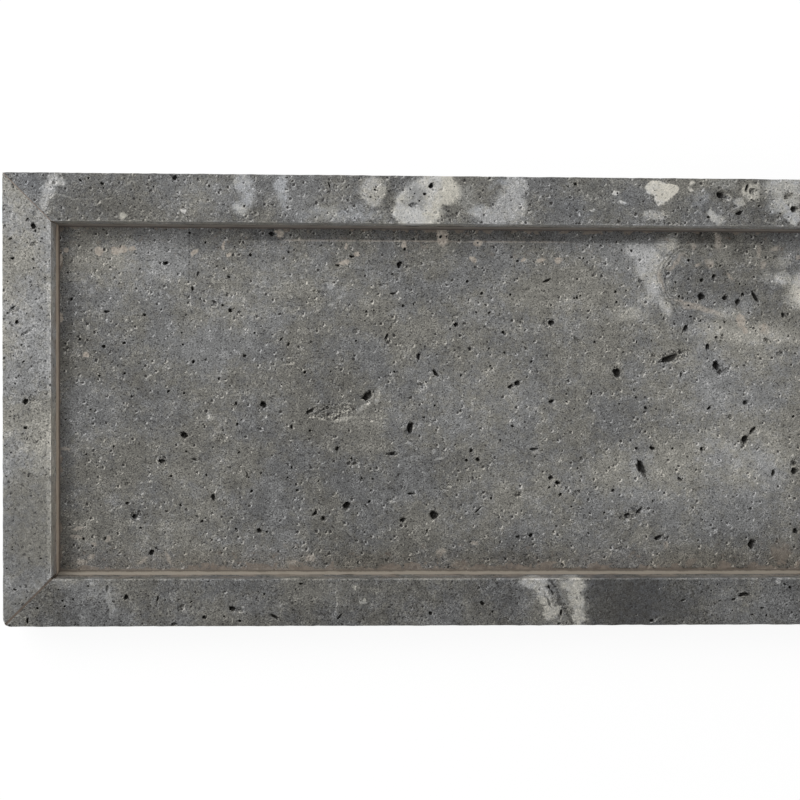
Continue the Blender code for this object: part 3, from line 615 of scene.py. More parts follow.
# Veins, clouds and stains on the rails. A row is x, y, half length and half width in pixels, and the turn
# where it isn't 0.
BACK_CREAM = [(421, 202, 24, 24), (438, 188, 22, 17, -20), (408, 212, 14, 14)]
BACK_CREAM_GREY = [(414, 193, 9, 11, 30), (416, 204, 12, 5)]
BACK_PALE = [
    (373, 190, 13, 14), (516, 186, 13, 12), (511, 205, 16, 16), (490, 216, 22, 7, -12),
    (655, 215, 12, 5, 12), (751, 191, 9, 10, -30), (738, 202, 6, 4),
]
BACK_CORNER_VEIN = [(57, 180, 9, 6, -30), (49, 190, 6, 12, -20), (45, 203, 5, 9, -10)]
BACK_HAZE = [(200, 198, 32, 20), (304, 203, 18, 14), (332, 196, 20, 16)]
BACK_LEFT_DARK = [(106, 200, 56, 26)]
BACK_CLOUDS = [(244, 184, 9, 10), (246, 198, 8, 9), (281, 192, 5, 18, 5), (345, 214, 40, 7)]
BACK_BLUE = [
    (466, 196, 8, 13), (473, 207, 12, 7, -20), (497, 184, 9, 4, 20), (700, 197, 8, 8, -20),
    (724, 184, 13, 6), (772, 203, 8, 9),
]
BACK_STREAKS = [(242, 184, 8, 9), (246, 198, 6, 10, 5), (282, 187, 5, 12, 5), (240, 208, 9, 5, -20)]
BACK_END_PALE = [(786, 187, 23, 13), (787, 203, 15, 11), (794, 216, 9, 7)]
BACK_WHITE = [(657, 189, 13, 7, -5), (662, 197, 9, 8), (670, 191, 8, 7, 20)]
BACK_CRYSTALS = [
    (716, 219, 9, 5, -20), (710, 214, 4, 4), (727, 199, 4, 3), (123.5, 216, 4, 4.5), (750, 190, 6, 6),
    (793, 221, 4, 3), (238, 207, 6, 2.4, 20),
]
BACK_SPOTS = [
    (692, 184, 2.4, 3), (690.5, 190.5, 2.6, 2.6), (592, 210.5, 2.4, 1.2), (577.5, 214, 1.6, 1.4),
    (618, 193, 4, 3, 20), (622.5, 202, 3, 2), (185, 210, 3, 2),
]
BACK_THIN_VEIN = [(104, 200, 14, 1.1, 32), (123, 187, 12, 1.2, 22), (66, 197, 18, 0.9, -8)]
BACK_DARK = [(690, 207, 20, 11), (595, 200, 34, 20), (30, 183, 14, 8, -30)]
FRONT_PALE = [
    (535, 583, 14, 7), (544, 596, 11, 6.5, -50), (551, 611, 8, 11), (573, 585, 12, 9), (576, 600, 7, 10),
    (577, 616, 6, 11),
]
FRONT_VEIN_HAZE = [(556, 600, 32, 30)]
FRONT_STREAKS = [(581, 598, 3.5, 20, 5)]
FRONT_DARK = [(622, 600, 37, 30), (598, 600, 13, 30)]
FRONT_DARK_FADE = [(652, 602, 40, 30)]
FRONT_CREAM = [
    (559, 608, 3.2, 5), (363, 602, 4, 3, 30), (355.5, 589, 1.4, 2.6, 20), (777, 581, 5, 2.6),
    (90, 582, 2.8, 2.4), (241.5, 610, 3, 2.4),
]
FRONT_VEIN_LINE = [
    (553, 587, 10, 1.5, -50), (561, 600, 9, 1.6, -58), (567, 614, 9, 1.6, -66), (549, 600, 8, 1.0, -55),
]
FRONT_WHITE_STREAK = [(109, 600, 3.2, 14, 8), (336, 601, 0.7, 22)]
FRONT_CLOUDS = [(330, 592, 30, 10), (750, 606, 44, 16), (220, 604, 44, 18)]
FRONT_CORNER_PALE = [(70, 585, 16, 5), (85, 616, 5, 8, -20), (100, 590, 22, 10)]
LEFT_CLOUDS = [(40, 226, 10, 9), (40, 250, 8, 10), (30, 290, 12, 14), (24, 200, 14, 14)]
LEFT_SHADE = [(25, 530, 34, 62), (25, 610, 30, 24)]
LEFT_STAIN = [(31, 330, 8, 1.5, 25), (13, 588, 13, 1.0, 52), (33, 213, 3, 5, -30)]

# What lies on each rail, in order: its ellipses, its lightness, how soft and how full it is, how far it calms
# the grain, and its tint
Feature = namedtuple("Feature", "rows target softness share calm tint", defaults=(0.12, None))
RAIL_FEATURES = {
    "back": [
        Feature(BACK_LEFT_DARK, 0.385, 0.6, 0.85),
        Feature(BACK_HAZE, 0.535, 0.8, 0.75),
        Feature(BACK_DARK, 0.42, 0.6, 0.4, tint=VEIN_TINT),
        Feature(BACK_CLOUDS, 0.66, 0.6, 0.75, tint=VEIN_TINT),
        Feature(BACK_BLUE, 0.56, 0.4, 0.8, tint=VEIN_TINT),
        Feature(BACK_PALE, 0.70, 0.25, 0.95),
        Feature(BACK_STREAKS, 0.71, 0.6, 0.85, tint=VEIN_TINT),
        Feature(BACK_END_PALE, 0.75, 0.35, 0.9, tint=VEIN_TINT),
        Feature(BACK_CORNER_VEIN, 0.72, 0.4, 0.9),
        Feature(BACK_THIN_VEIN, 0.60, 0.6, 0.6),
        Feature(BACK_CREAM, 0.81, 0.16, 0.95, 0.38, CREAM_TINT),
        Feature(BACK_CREAM_GREY, 0.58, 0.6, 0.7),
        Feature(BACK_WHITE, 0.86, 0.12, 1.0, 0.38, CREAM_TINT),
        Feature(BACK_CRYSTALS, 0.76, 0.4, 0.9, 0.38, CREAM_TINT),
        Feature(BACK_SPOTS, 0.88, 0.4, 0.9, 0.38),
    ],
    "front": [
        Feature(FRONT_DARK_FADE, 0.28, 0.7, 0.75, 0.28, VEIN_TINT),
        Feature(FRONT_DARK, 0.268, 0.3, 0.9, 0.28, VEIN_TINT),
        Feature(FRONT_CLOUDS, 0.48, 0.6, 0.6),
        Feature(FRONT_CORNER_PALE, 0.53, 0.6, 0.8),
        Feature(FRONT_VEIN_HAZE, 0.50, 0.5, 0.7),
        Feature(FRONT_STREAKS, 0.47, 0.5, 0.7),
        Feature(FRONT_PALE, 0.70, 0.25, 0.95),
        Feature(FRONT_VEIN_LINE, 0.30, 0.5, 0.85),
        Feature(FRONT_CREAM, 0.70, 0.3, 0.8, tint=CREAM_TINT),
        Feature(FRONT_WHITE_STREAK, 0.64, 0.6, 0.8),
    ],
    "left": [
        Feature(LEFT_CLOUDS, 0.60, 0.7, 0.6),
        Feature(LEFT_SHADE, 0.45, 0.5, 0.75, 0.4),
        Feature(LEFT_STAIN, 0.42, 0.6, 0.6),
    ],
    "right": [Feature(LEFT_CLOUDS, 0.5, 0.7, 0.6)],
}


def from_wall(recipe, side):
    """How far a point lies outside the wall of the well on one side: negative in the well."""
    outward = OUTWARD[side]
    return recipe.dot(recipe.place, outward) - (WALL_X if outward.x else WALL_Y)


def edge_line(recipe, side):
    """The broken pale line along the inner edge of a rail's top."""
    look = LOOKS[side]
    broken = recipe.fade(recipe.noise(6 * MM, 3.0, 0.7), 0.36, 0.54)
    top = recipe.fade(recipe.at("Z"), RAIL_TOP - 1.2 * MM, RAIL_TOP - 0.6 * MM)
    line = look.line_lift * broken * top
    return line * recipe.fade(from_wall(recipe, side), look.line_width, 0.6 * look.line_width)


def rail_stone(side):
    """A rail's stone, with what the photograph shows on it laid over it in order."""
    look = LOOKS[side]
    recipe = new_recipe(f"rail_{side}_stone")
    place = recipe.strayed((8 * MM, 6 * MM), (1.6 * MM, 2.6 * MM, 3.0))
    tone, grain, height = stone_body(recipe, look.tone, look.seed, look.pores, look.bright)
    tints = {}
    for rows, target, softness, share, calm, tint in RAIL_FEATURES[side]:
        mask = recipe.patches(place, RAIL_TOP, rows, softness)
        tone = recipe.towards(tone, tone * (1 - share) + share * target, mask)
        if tint:
            tints[tint] = recipe.most([tints[tint], mask]) if tint in tints else mask
        grain = grain * (1 - calm * mask)
    vein_mottle = recipe.noise(2.4 * MM, 3.0, 0.65) - 0.5
    inward = recipe.fade(recipe.dot(recipe.normal(), -OUTWARD[side]), 0.8, 0.95)
    scuff = slope_of(recipe) * recipe.fade(recipe.noise(2.5 * MM), 0.3, 0.55)
    # Painted light: the inner wall faces are lightened as if lit by a fill light.
    tone = tone + 0.22 * vein_mottle + grain + look.scuff * scuff + look.wall_lift * inward
    tone = tone + edge_line(recipe, side)
    colour = tinted(recipe, tone, look.seed, tints)
    resin = inward * recipe.fade(recipe.noise(7 * MM, 3.0), 0.42, 0.6)
    low_down = recipe.fade(recipe.at("Z"), RAIL_TOP - 3 * MM, FLOOR_TOP + 3 * MM)
    resin = resin * look.wall_resin * (0.25 + 0.6 * low_down)
    return recipe.finish(recipe.blend(resin, colour, WALL_RESIN), 0.62, height)


# The floor's veins and stains, in rows like the rails'
SWIRL_PALE = [
    (649, 262, 15, 17), (667, 245, 13, 8, 20), (653, 281, 8, 13, 10), (665, 307, 4.5, 9, 30),
    (634, 250, 9, 8),
]
SWIRL_FAR_PALE = [
    (797, 290, 11, 17), (772, 279, 12, 6, -20), (786, 262, 10, 8), (760, 335, 40, 10), (632, 314, 18, 8),
    (716, 330, 24, 10), (651, 299, 13, 8), (726, 313, 22, 5),
]
SWIRL_EDGE_PALE = [(799, 291, 13, 18), (783, 279, 9, 7, -20)]
SWIRL_DARK = [(690, 277, 20, 20), (772, 310, 16, 9, -25), (706, 237, 11, 8), (740, 250, 7, 14, -20)]
PINK_PATCHES = [
    (718, 241, 3.4, 9, 8), (758, 252, 2.6, 7, -8), (763, 265, 3.6, 4.5), (776, 248, 4, 2.6),
    (708, 263, 3.6, 4, 30), (662, 280, 1.8, 10, 10), (702, 309, 22, 2.6, -12), (692, 247, 2.4, 3.2),
    (676, 262, 1.8, 11, -35), (731, 277, 1.8, 5, 35), (765, 328, 4, 5), (697, 266, 2.6, 2),
    (688, 303, 14, 1.6, -8), (797, 257, 2, 4),
]
RESIN_PATCHES = [
    (99.5, 251, 4.5, 4.5), (116, 251, 5.5, 4.5), (123, 249, 4.5, 3.5), (132, 249, 3.5, 2.5, 20),
    (194, 253, 4.2, 2.6, 45), (223, 246, 2, 4, -10), (229, 255, 2.8, 1.8, 40), (66, 250, 3, 2),
    (86, 355, 2.6, 2.6), (346, 246, 1.6, 3), (343, 263, 7, 2, 18), (357, 255, 3, 3, 30),
    (279, 233.5, 5.5, 4, -15), (442.5, 237, 5.5, 9.5, 5), (404.5, 245, 3, 4), (478, 243, 4.5, 3.2),
    (473, 259, 4.5, 2.4, -30), (523, 260, 2.8, 2.2, 30), (541, 261, 5, 2, 10), (558, 260, 3.5, 3.5),
    (59.5, 258, 3, 7), (60, 318, 3, 5), (741, 321, 4.5, 7.5, 15), (745, 331, 3, 4, 30), (764, 327, 2.4, 4),
]
FAINT_RESIN_PATCHES = [
    (66, 449, 5, 1.8), (59, 458, 2, 3), (78, 528, 5, 1.6, 10), (76, 537, 6, 2.2), (94, 545, 3, 2.4),
    (82, 562, 5, 2.6), (92, 557, 4, 2.4, 20), (143, 560, 6, 1.8, 40), (168, 558, 7, 2, -62),
    (108, 539, 2, 2.6), (293, 562, 5, 2.6), (310, 558, 4.5, 3.4), (441, 551, 5, 3), (666, 545, 2.5, 4),
    (475, 543, 4, 1.6, 10),
]
RESIN_SMEARS = [
    (387, 567, 8, 4), (457, 564, 9, 5), (689, 564, 8, 4, 30), (724, 566, 8, 3), (519, 567, 6, 3),
    (302, 567, 9, 3), (215, 567, 12, 3), (604, 567, 6, 4), (780, 552, 8, 12),
]
FLOOR_CRYSTALS = [
    (84, 281, 3.6, 2, -30), (98, 277.5, 2.2, 2), (289, 296, 2, 1.8), (285.5, 292, 1.6, 1.4),
    (302, 278, 1.2, 2.4, 20), (306, 270, 1.2, 2.4, 20), (331, 286, 4, 5, 30), (331, 305, 3.2, 1.8),
    (340, 297, 3.6, 1.6, 25), (213, 281.5, 1.8, 3, 20), (88, 328, 1.6, 2), (97, 329.5, 2.6, 1.6),
    (168, 296, 1, 2.8, 30), (160, 291, 1.2, 2.2), (330, 450, 1.8, 1.6), (210, 417, 3.2, 4, 30),
    (434, 451, 2.4, 2), (439, 459, 5, 1.6, 15), (519, 425, 2.4, 2), (560, 461, 3, 2),
    # The last four rows are the pale rim on the lower right of the hole at 369, 394: calcite and a painted
    # highlight on the side that faces the light.
    (536, 452.5, 4, 1.4, 5), (409, 443, 2.2, 2), (662, 360, 2.8, 2.2), (365, 406, 10, 2.2, 38),
    (378, 396, 2.6, 9, -12), (343, 419, 13, 2.2, 12), (328, 408, 9, 2, 15),
]
FLOOR_CLOUDS = [
    (125, 285, 75, 40), (330, 300, 90, 40), (510, 420, 80, 36), (560, 305, 110, 60), (570, 500, 100, 50),
    (630, 350, 60, 40),
]
FLOOR_BRIGHT = [(745, 378, 85, 60), (700, 465, 85, 34, 5)]
# The first two rows are painted light just past the back wall's shadow, which sharpens its edge; the last is
# pale stone.
FLOOR_PALE_AND_PAINTED_LIGHT = [(150, 262, 95, 20), (700, 252, 90, 12), (770, 480, 50, 60)]
FLOOR_SHADE = [(300, 500, 120, 55), (430, 552, 120, 20)]

# How much each lightens the floor, and how soft it is
FLOOR_LIFTS = [
    (FLOOR_CLOUDS, 0.045, 0.7), (FLOOR_BRIGHT, 0.12, 0.7),
    (FLOOR_PALE_AND_PAINTED_LIGHT, 0.055, 0.6), (FLOOR_SHADE, -0.055, 0.7),
]
SWIRL_LIFTS = [
    (SWIRL_PALE, 0.23, 0.45), (SWIRL_FAR_PALE, 0.13, 0.6),
    (SWIRL_EDGE_PALE, 0.24, 0.4), (SWIRL_DARK, -0.04, 0.35),
]
SWIRL_CENTRE = (694, 277)
SWIRL_LINE_GAP = 1.5 * MM

# Pixels of the marks on the floor: the crack by the front bead, the strip ground along the back, which is
# also darkened as a painted shadow of the back wall, the bright line at its edge, and the saw mark. The last
# is where the photograph ends.
CRACK_START, CRACK_END = (540, 570), (760, 570)
STRIP_START, STRIP_FULL, STRIP_END = (190, 241), (283, 241), (745, 241)
LINE_END = (600, 241)
STRIP_EDGE = (430, 241.3)
SAW_MARK, SAW_MARK_FULL, SAW_MARK_END = (189, 255), (189, 280), (189, 287)
PHOTO_END = (800, 400)


def resin_on_floor(recipe):
    """The smear of resin that runs out from the foot of the walls, in fingers."""
    fingers = recipe.noise(6 * MM, 3.0, 0.6)
    x = recipe.at("X")
    y = recipe.at("Y")
    reach = recipe.fade(fingers, 0.42, 0.68)
    from_front = y + WALL_Y
    from_back = WALL_Y - y
    from_left = x + WALL_X
    from_right = WALL_X - x
    found = recipe.fade(from_front - 3.6 * MM * reach, 2.7 * MM, 2.1 * MM)
    for gap, width in ((from_back, 2.4 * MM), (from_left, 2.2 * MM), (from_right, 3 * MM)):
        found = recipe.most([found, recipe.fade(gap - width * reach, 0.9 * MM, 0.3 * MM)])
    stray = recipe.fade(recipe.noise(4 * MM, 2.0, 0.6), 0.62, 0.69)
    near = recipe.most([recipe.fade(from_front, 22 * MM, 5 * MM), recipe.fade(from_back, 20 * MM, 6 * MM)])
    return recipe.most([0.62 * found, 0.45 * stray * near])


def crack_by_bead(recipe):
    """The dark line where the bead has parted from the floor, along part of the front."""
    start, end = on_floor(*CRACK_START).x, on_floor(*CRACK_END).x
    x = recipe.at("X")
    from_front = recipe.at("Y") + WALL_Y
    band = recipe.fade(from_front, 2.9 * MM, 2.4 * MM) * recipe.fade(x, start - 4 * MM, start + 10 * MM)
    return band * recipe.fade(x, end + 2 * MM, end - 8 * MM)


def ground_strip(recipe):
    """The strip ground down along the back wall, which also carries a painted shadow of the wall, and the
    bright line at its edge.
    """
    x = recipe.at("X")
    y = recipe.at("Y")
    start, full, end = (on_floor(*pixel).x for pixel in (STRIP_START, STRIP_FULL, STRIP_END))
    line_end = on_floor(*LINE_END).x
    edge = on_floor(*STRIP_EDGE).y
    along = recipe.fade(x, start - 3 * MM, full) * recipe.fade(x, end + 12 * MM, end - 12 * MM)
    strip = along * recipe.fade(y, edge - 0.3 * MM, edge + 0.1 * MM)
    line = recipe.fade(x, full - 2 * MM, full + 2 * MM)
    line = line * recipe.fade(x, line_end - 5 * MM, line_end - 30 * MM)
    gap = abs(y - edge)
    broken = recipe.fade(recipe.noise(9 * MM, 3.0, 0.7), 0.32, 0.5)
    return strip, line * recipe.fade(gap, 0.6 * MM, 0.25 * MM) * broken


def saw_mark(recipe):
    """The short dark groove that runs out from the ground strip."""
    groove = recipe.fade(abs(recipe.at("X") - on_floor(*SAW_MARK).x), 0.5 * MM, 0.2 * MM)
    return groove * recipe.fade(recipe.at("Y"), on_floor(*SAW_MARK_END).y, on_floor(*SAW_MARK_FULL).y)


def swirl_lines(recipe, place):
    """Fine bands round the left of the swirl."""
    flat = recipe.vector("SUBTRACT", place, on_floor(*SWIRL_CENTRE))
    radius = recipe.vector("LENGTH", flat, output="Value")
    bands = recipe.math("SINE", radius * (2 * pi / SWIRL_LINE_GAP))
    ring = recipe.fade(radius, 11 * MM, 13 * MM) * recipe.fade(radius, 19 * MM, 15 * MM)
    return bands * ring * recipe.fade(recipe.part(flat, "X"), 2 * MM, -8 * MM)


def filled_pores(recipe):
    """Pores near the walls that are filled with resin."""
    place = recipe.strayed((3 * MM, 2.4 * MM), (0.9 * MM, 1.3 * MM))
    faint = recipe.patches(place, FLOOR_TOP, FAINT_RESIN_PATCHES, 0.4)
    return recipe.most([recipe.patches(place, FLOOR_TOP, RESIN_PATCHES, 0.25), 0.55 * faint])


def floor_stone():
    """The floor's stone, with the pale swirl at the right, resin along the walls, the tool marks and painted
    shadows at the foot of the back and left walls.
    """
    recipe = new_recipe("floor_stone")
    place = recipe.strayed((9 * MM, 9 * MM), (1.8 * MM, 3 * MM))
    tone, grain, height = stone_body(recipe, FLOOR_TONE, FLOOR_SEED, FLOOR_PORES, FLOOR_GLITTER)
    for rows, lift, softness in FLOOR_LIFTS:
        tone = tone + lift * recipe.patches(place, FLOOR_TOP, rows, softness)
    curl = recipe.strayed((8 * MM, 5 * MM), (1.8 * MM, 2 * MM))
    for rows, lift, softness in SWIRL_LIFTS:
        tone = tone + lift * recipe.patches(curl, FLOOR_TOP, rows, softness)
    tone = tone + 0.10 * swirl_lines(recipe, curl)
    crystals = recipe.patches(recipe.strayed((1 * MM, 1.6 * MM)), FLOOR_TOP, FLOOR_CRYSTALS, 0.35)
    tone = recipe.towards(tone, CRYSTAL_TONE, 0.7 * crystals)
    strip, line = ground_strip(recipe)
    # The darkened strip is partly the ground strip and partly a painted shadow of the back wall.
    tone = tone + grain - 0.11 * strip + 0.22 * line - 0.22 * crack_by_bead(recipe)
    # Painted shadow of the left wall on the floor, darkest within about 5.6 mm of its foot.
    tone = tone - 0.045 * recipe.fade(-from_wall(recipe, "left"), 8.5 * MM, 5.6 * MM)
    # Darker and warmer within about 14 mm of the front wall.
    near_front = recipe.fade(-from_wall(recipe, "front"), 14 * MM, 4 * MM)
    tone = tone - 0.025 * near_front
    groove = saw_mark(recipe)
    colour = tinted(recipe, tone - 0.10 * groove, FLOOR_SEED)
    colour = recipe.blend(near_front, colour, recipe.blend(1.0, colour, FRONT_WARM_TINT, "MULTIPLY"))
    stain = recipe.most([resin_on_floor(recipe), 0.45 * line])
    patchy = recipe.blend(recipe.fade(recipe.noise(3 * MM), 0.35, 0.65), *SMEAR_COLOURS)
    colour = recipe.blend(stain, colour, patchy)
    smears = recipe.patches(place, FLOOR_TOP, RESIN_SMEARS, 0.4)
    colour = recipe.blend(0.5 * smears, colour, patchy)
    filled = 0.95 * filled_pores(recipe)
    filled = recipe.most([filled, 0.6 * recipe.patches(curl, FLOOR_TOP, PINK_PATCHES, 0.5)])
    filled = filled * (0.9 + 2.2 * grain)
    mottled = recipe.fade(recipe.noise(1.5 * MM, 3.0, 0.7), 0.38, 0.62)
    colour = recipe.blend(filled, colour, recipe.blend(mottled, *FILLED_PORE_COLOURS))
    return recipe.finish(colour, 0.66, height)


# How far each bead of resin reaches over the floor and up the wall, and its colours, light and dark
BEAD_LEGS = {
    "front": (2.0 * MM, 1.6 * MM),
    "back": (1.1 * MM, 1.4 * MM),
    "left": (0.9 * MM, 1.8 * MM),
    "right": (1.2 * MM, 1.5 * MM),
}
BEAD_COLOURS = {
    "front": (paint(160, 151, 138), paint(106, 98, 88)),
    "back": (paint(140, 133, 125), paint(100, 95, 90)),
    "left": (paint(212, 196, 178), paint(160, 146, 131)),
    "right": (paint(150, 141, 130), paint(116, 108, 98)),
}
SEAM_COLOURS = (paint(124, 112, 104), paint(92, 83, 77))
CORNER_COLOURS = {
    "back_left": ("corner_resin_pale", paint(158, 144, 133), paint(124, 112, 103)),
    "front_left": ("corner_resin_dark", paint(112, 99, 88), paint(64, 56, 50)),
}
RUBBER_COLOURS = (paint(38, 38, 38), paint(66, 64, 61))


def resin(name, light, dark, roughness=0.55, side=None):
    """Cured stone adhesive: waxy and uneven, and in a bead palest against the wall."""
    recipe = new_recipe(name)
    blotch = recipe.noise(5 * MM, 3.0, 0.6)
    grit = recipe.noise(0.7 * MM, 2.0, 0.7)
    darkness = blotch + 0.5 * (grit - 0.5)
    if side:
        darkness = darkness + recipe.fade(-from_wall(recipe, side), 0.5 * MM, BEAD_LEGS[side][0]) - 0.5
    colour = recipe.blend(recipe.fade(darkness, 0.2, 0.8), light, dark)
    return recipe.finish(colour, roughness, blotch + 0.5 * grit, 0.25 * MM)


def rubber():
    """The pads: dull black rubber with a fine pebble."""
    recipe = new_recipe("pad_rubber")
    pebble = recipe.cells(0.6 * MM, "Distance")
    dust = recipe.noise(3 * MM, 3.0, 0.6)
    colour = recipe.blend(recipe.fade(dust, 0.45, 0.8), *RUBBER_COLOURS)
    return recipe.finish(colour, 0.85, pebble + 0.4 * dust, 0.12 * MM)


def only(piece):
    """Makes one piece the active and only selected one."""
    bpy.ops.object.select_all(action="DESELECT")
    piece.select_set(True)
    bpy.context.view_layer.objects.active = piece


def add_block(name, low, high):
    """A box between two corners, as the start of a piece."""
    bpy.ops.object.select_all(action="DESELECT")
    bpy.ops.mesh.primitive_cube_add(size=1, location=(low + high) / 2)
    block = bpy.context.object
    block.name = name
    block.data.name = name
    bpy.ops.transform.resize(value=high - low)
    bpy.ops.object.transform_apply(location=True, rotation=True, scale=True)
    return block


def start_edit(piece):
    """Opens a piece in edit mode."""
    only(piece)
    bpy.ops.object.mode_set(mode="EDIT")


def end_edit():
    """Turns every face outwards and closes edit mode."""
    bpy.ops.mesh.select_all(action="SELECT")
    bpy.ops.mesh.normals_make_consistent(inside=False)
    bpy.ops.object.mode_set(mode="OBJECT")


def pick(piece, kind, wanted):
    """In edit mode, selects only the edges or the faces that a test picks."""
    bpy.ops.mesh.select_mode(type=kind)
    bpy.ops.mesh.select_all(action="DESELECT")
    shape = bmesh.from_edit_mesh(piece.data)
    for part in shape.edges if kind == "EDGE" else shape.faces:
        part.select_set(wanted(part))
    bmesh.update_edit_mesh(piece.data)


def bevel(piece, wanted, width, segments, profile=0.5):
    """In edit mode, bevels the edges that a test picks."""
    pick(piece, "EDGE", wanted)
    bpy.ops.mesh.bevel(offset=width, segments=segments, profile=profile, affect="EDGES")


def cut_off(point, normal):
    """In edit mode, cuts away what lies past a plane and closes the cut."""
    bpy.ops.mesh.select_mode(type="VERT")
    bpy.ops.mesh.select_all(action="SELECT")
    bpy.ops.mesh.bisect(plane_co=point, plane_no=normal, use_fill=True, clear_outer=True)


def cut_ring(point, normal):
    """In edit mode, cuts a ring of edges round a piece where a plane crosses it."""
    bpy.ops.mesh.select_all(action="SELECT")
    bpy.ops.mesh.bisect(plane_co=point, plane_no=normal)


def slice_along(start, direction, span, gap):
    """In edit mode, cuts rings across a piece at even gaps, to give its edges something to wear."""
    count = max(2, round(abs(span) / gap))
    for step in range(1, count):
        cut_ring(start + direction * span * step / count, direction)


def stands_at(edge, x, y):
    """True for the upright edge that stands at x, y."""
    return all(hypot(v.co.x - x, v.co.y - y) < OVERLAP for v in edge.verts)


def lies_at(edge, level):
    """True for an edge that lies at a level."""
    return all(abs(v.co.z - level) < OVERLAP for v in edge.verts)


def is_level_rim(edge):
    """True for an edge round a rail's top or underside, but not for the long slanting ones of a mitre."""
    first, second = (v.co for v in edge.verts)
    run = second - first
    slanting = min(abs(run.x), abs(run.y)) > LONGEST_SLANT
    level = abs(run.z) < OVERLAP and min(abs(first.z - RAIL_TOP), abs(first.z - STONE_BASE)) < OVERLAP
    return level and not slanting


def round_corners(piece):
    """In edit mode, rounds the tray's four upright corners."""
    for (x_way, y_way), radius in CORNER_RADII.items():
        x, y = x_way * HALF_LENGTH, y_way * HALF_WIDTH
        bevel(piece, lambda edge: stands_at(edge, x, y), radius, CORNER_SEGMENTS)


def ruffle(piece, group, size, strength, bias=0.5):
    """Moves the points of a group by cloudy noise. A bias over 0.5 moves them mostly inwards."""
    texture = bpy.data.textures.new(group + "_noise", "CLOUDS")
    texture.noise_scale = size
    texture.noise_depth = 2
    noisy = piece.modifiers.new(group, "DISPLACE")
    noisy.texture = texture
    noisy.texture_coords = "LOCAL"
    noisy.strength = strength
    noisy.mid_level = bias
    noisy.vertex_group = group
    only(piece)
    bpy.ops.object.modifier_apply(modifier=noisy.name)
    bpy.data.textures.remove(texture)


def wear(piece, name, wanted, *steps):
    """Makes the points that a test picks uneven. A step is a size and a strength, and may have a bias."""
    group = piece.vertex_groups.new(name=name)
    for point in piece.data.vertices:
        if wanted(point.co):
            group.add([point.index], 1.0, "REPLACE")
    for step in steps:
        ruffle(piece, name, *step)


def stand_for(piece, node, slot, smoothing, *finishes):
    """Shades a piece smooth but for its sharp edges, and puts it in a node's stead with its finish."""
    only(piece)
    bpy.ops.object.shade_smooth_by_angle(angle=radians(smoothing))
    for finish in finishes:
        piece.data.materials.append(finish)
    piece.name = node + "_stone" if slot.endswith("stone") else node + "_finished"
    piece.data.name = piece.name
    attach(piece, "root")
    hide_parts(node)


def model_pit_form(kind, number):
    """One rough hollow of a kind, modelled by extruding a round cap down its profile. Its mouth is 1 wide."""
    sides, cuts, stray, lump, profile, _ = PIT_KINDS[kind]
    radius, level = profile[0]
    bpy.ops.object.select_all(action="DESELECT")
    bpy.ops.mesh.primitive_circle_add(vertices=sides, radius=radius, fill_type="NGON", location=(0, 0, 0))
    form = bpy.context.object
    form.name = f"{kind}_form_{number}"
    start_edit(form)
    bpy.ops.mesh.select_all(action="SELECT")
    bpy.ops.transform.translate(value=(0, 0, level))
    for next_radius, next_level in profile[1:]:
        move = (LEAN * min(0, next_level - level), 0, next_level - level)
        bpy.ops.mesh.extrude_region_move(TRANSFORM_OT_translate={"value": move})
        share = next_radius / radius
        bpy.ops.transform.resize(value=(share, share, 1))
        radius, level = next_radius, next_level
    bpy.ops.mesh.select_all(action="SELECT")
    if cuts:
        bpy.ops.mesh.subdivide(number_cuts=cuts)
    end_edit()
    aside = Vector((FORM_GAP * number, KIND_GAP * len(kind), 0))
    form.location = aside
    only(form)
    bpy.ops.object.transform_apply(location=True)
    wear(form, "wall", lambda co: True, (BEND_LUMP, BEND), (lump, stray))
    bpy.ops.object.mode_set(mode="EDIT")
    bpy.ops.mesh.select_all(action="SELECT")
    bpy.ops.transform.translate(value=-aside)
    bpy.ops.object.mode_set(mode="OBJECT")
    form.hide_render = True
    return form


def is_clear(pit, others, clearance):
    """True for a pit that lies clear of all the others."""
    return all((pit.place - other.place).length > clearance * (pit.length + other.length) for other in others)


def layers_of(pits):
    """Sorts pits into layers in which none touches another. What fits in none of the layers is left out."""
    layers = []
    for pit in pits:
        for layer in layers:
            if is_clear(pit, layer, CLEARANCE):
                layer.append(pit)
                break
        else:
            if len(layers) < MOST_LAYERS:
                layers.append([pit])
    return layers


def cutter_of(pit, form, finish):
    """A copy of a form, stretched and turned to make a pit, with the finish of the pit's inside."""
    cutter = form.copy()
    cutter.data = form.data.copy()
    stretch = Matrix.Diagonal((pit.length, pit.width, pit.depth, 1))
    spin = Matrix.Rotation(radians(pit.turn), 4, "Z")
    turned = UP.rotation_difference(pit.outward).to_matrix().to_4x4()
    cutter.data.transform(Matrix.Translation(pit.place) @ turned @ spin @ stretch)
    cutter.data.materials.clear()
    cutter.data.materials.append(finish)
    bpy.context.collection.objects.link(cutter)
    return cutter


def subtract(piece, cutter):
    """Cuts one mesh out of another, or leaves it as it was where the cut fails."""
    uncut = piece.data.copy()
    only(piece)
    cut = piece.modifiers.new("pits", "BOOLEAN")
    cut.show_viewport = False
    cut.operation = "DIFFERENCE"
    cut.solver = "EXACT"
    cut.material_mode = "TRANSFER"
    cut.object = cutter
    bpy.ops.object.modifier_apply(modifier=cut.name)
    if len(piece.data.polygons) < len(uncut.polygons):
        piece.data = uncut


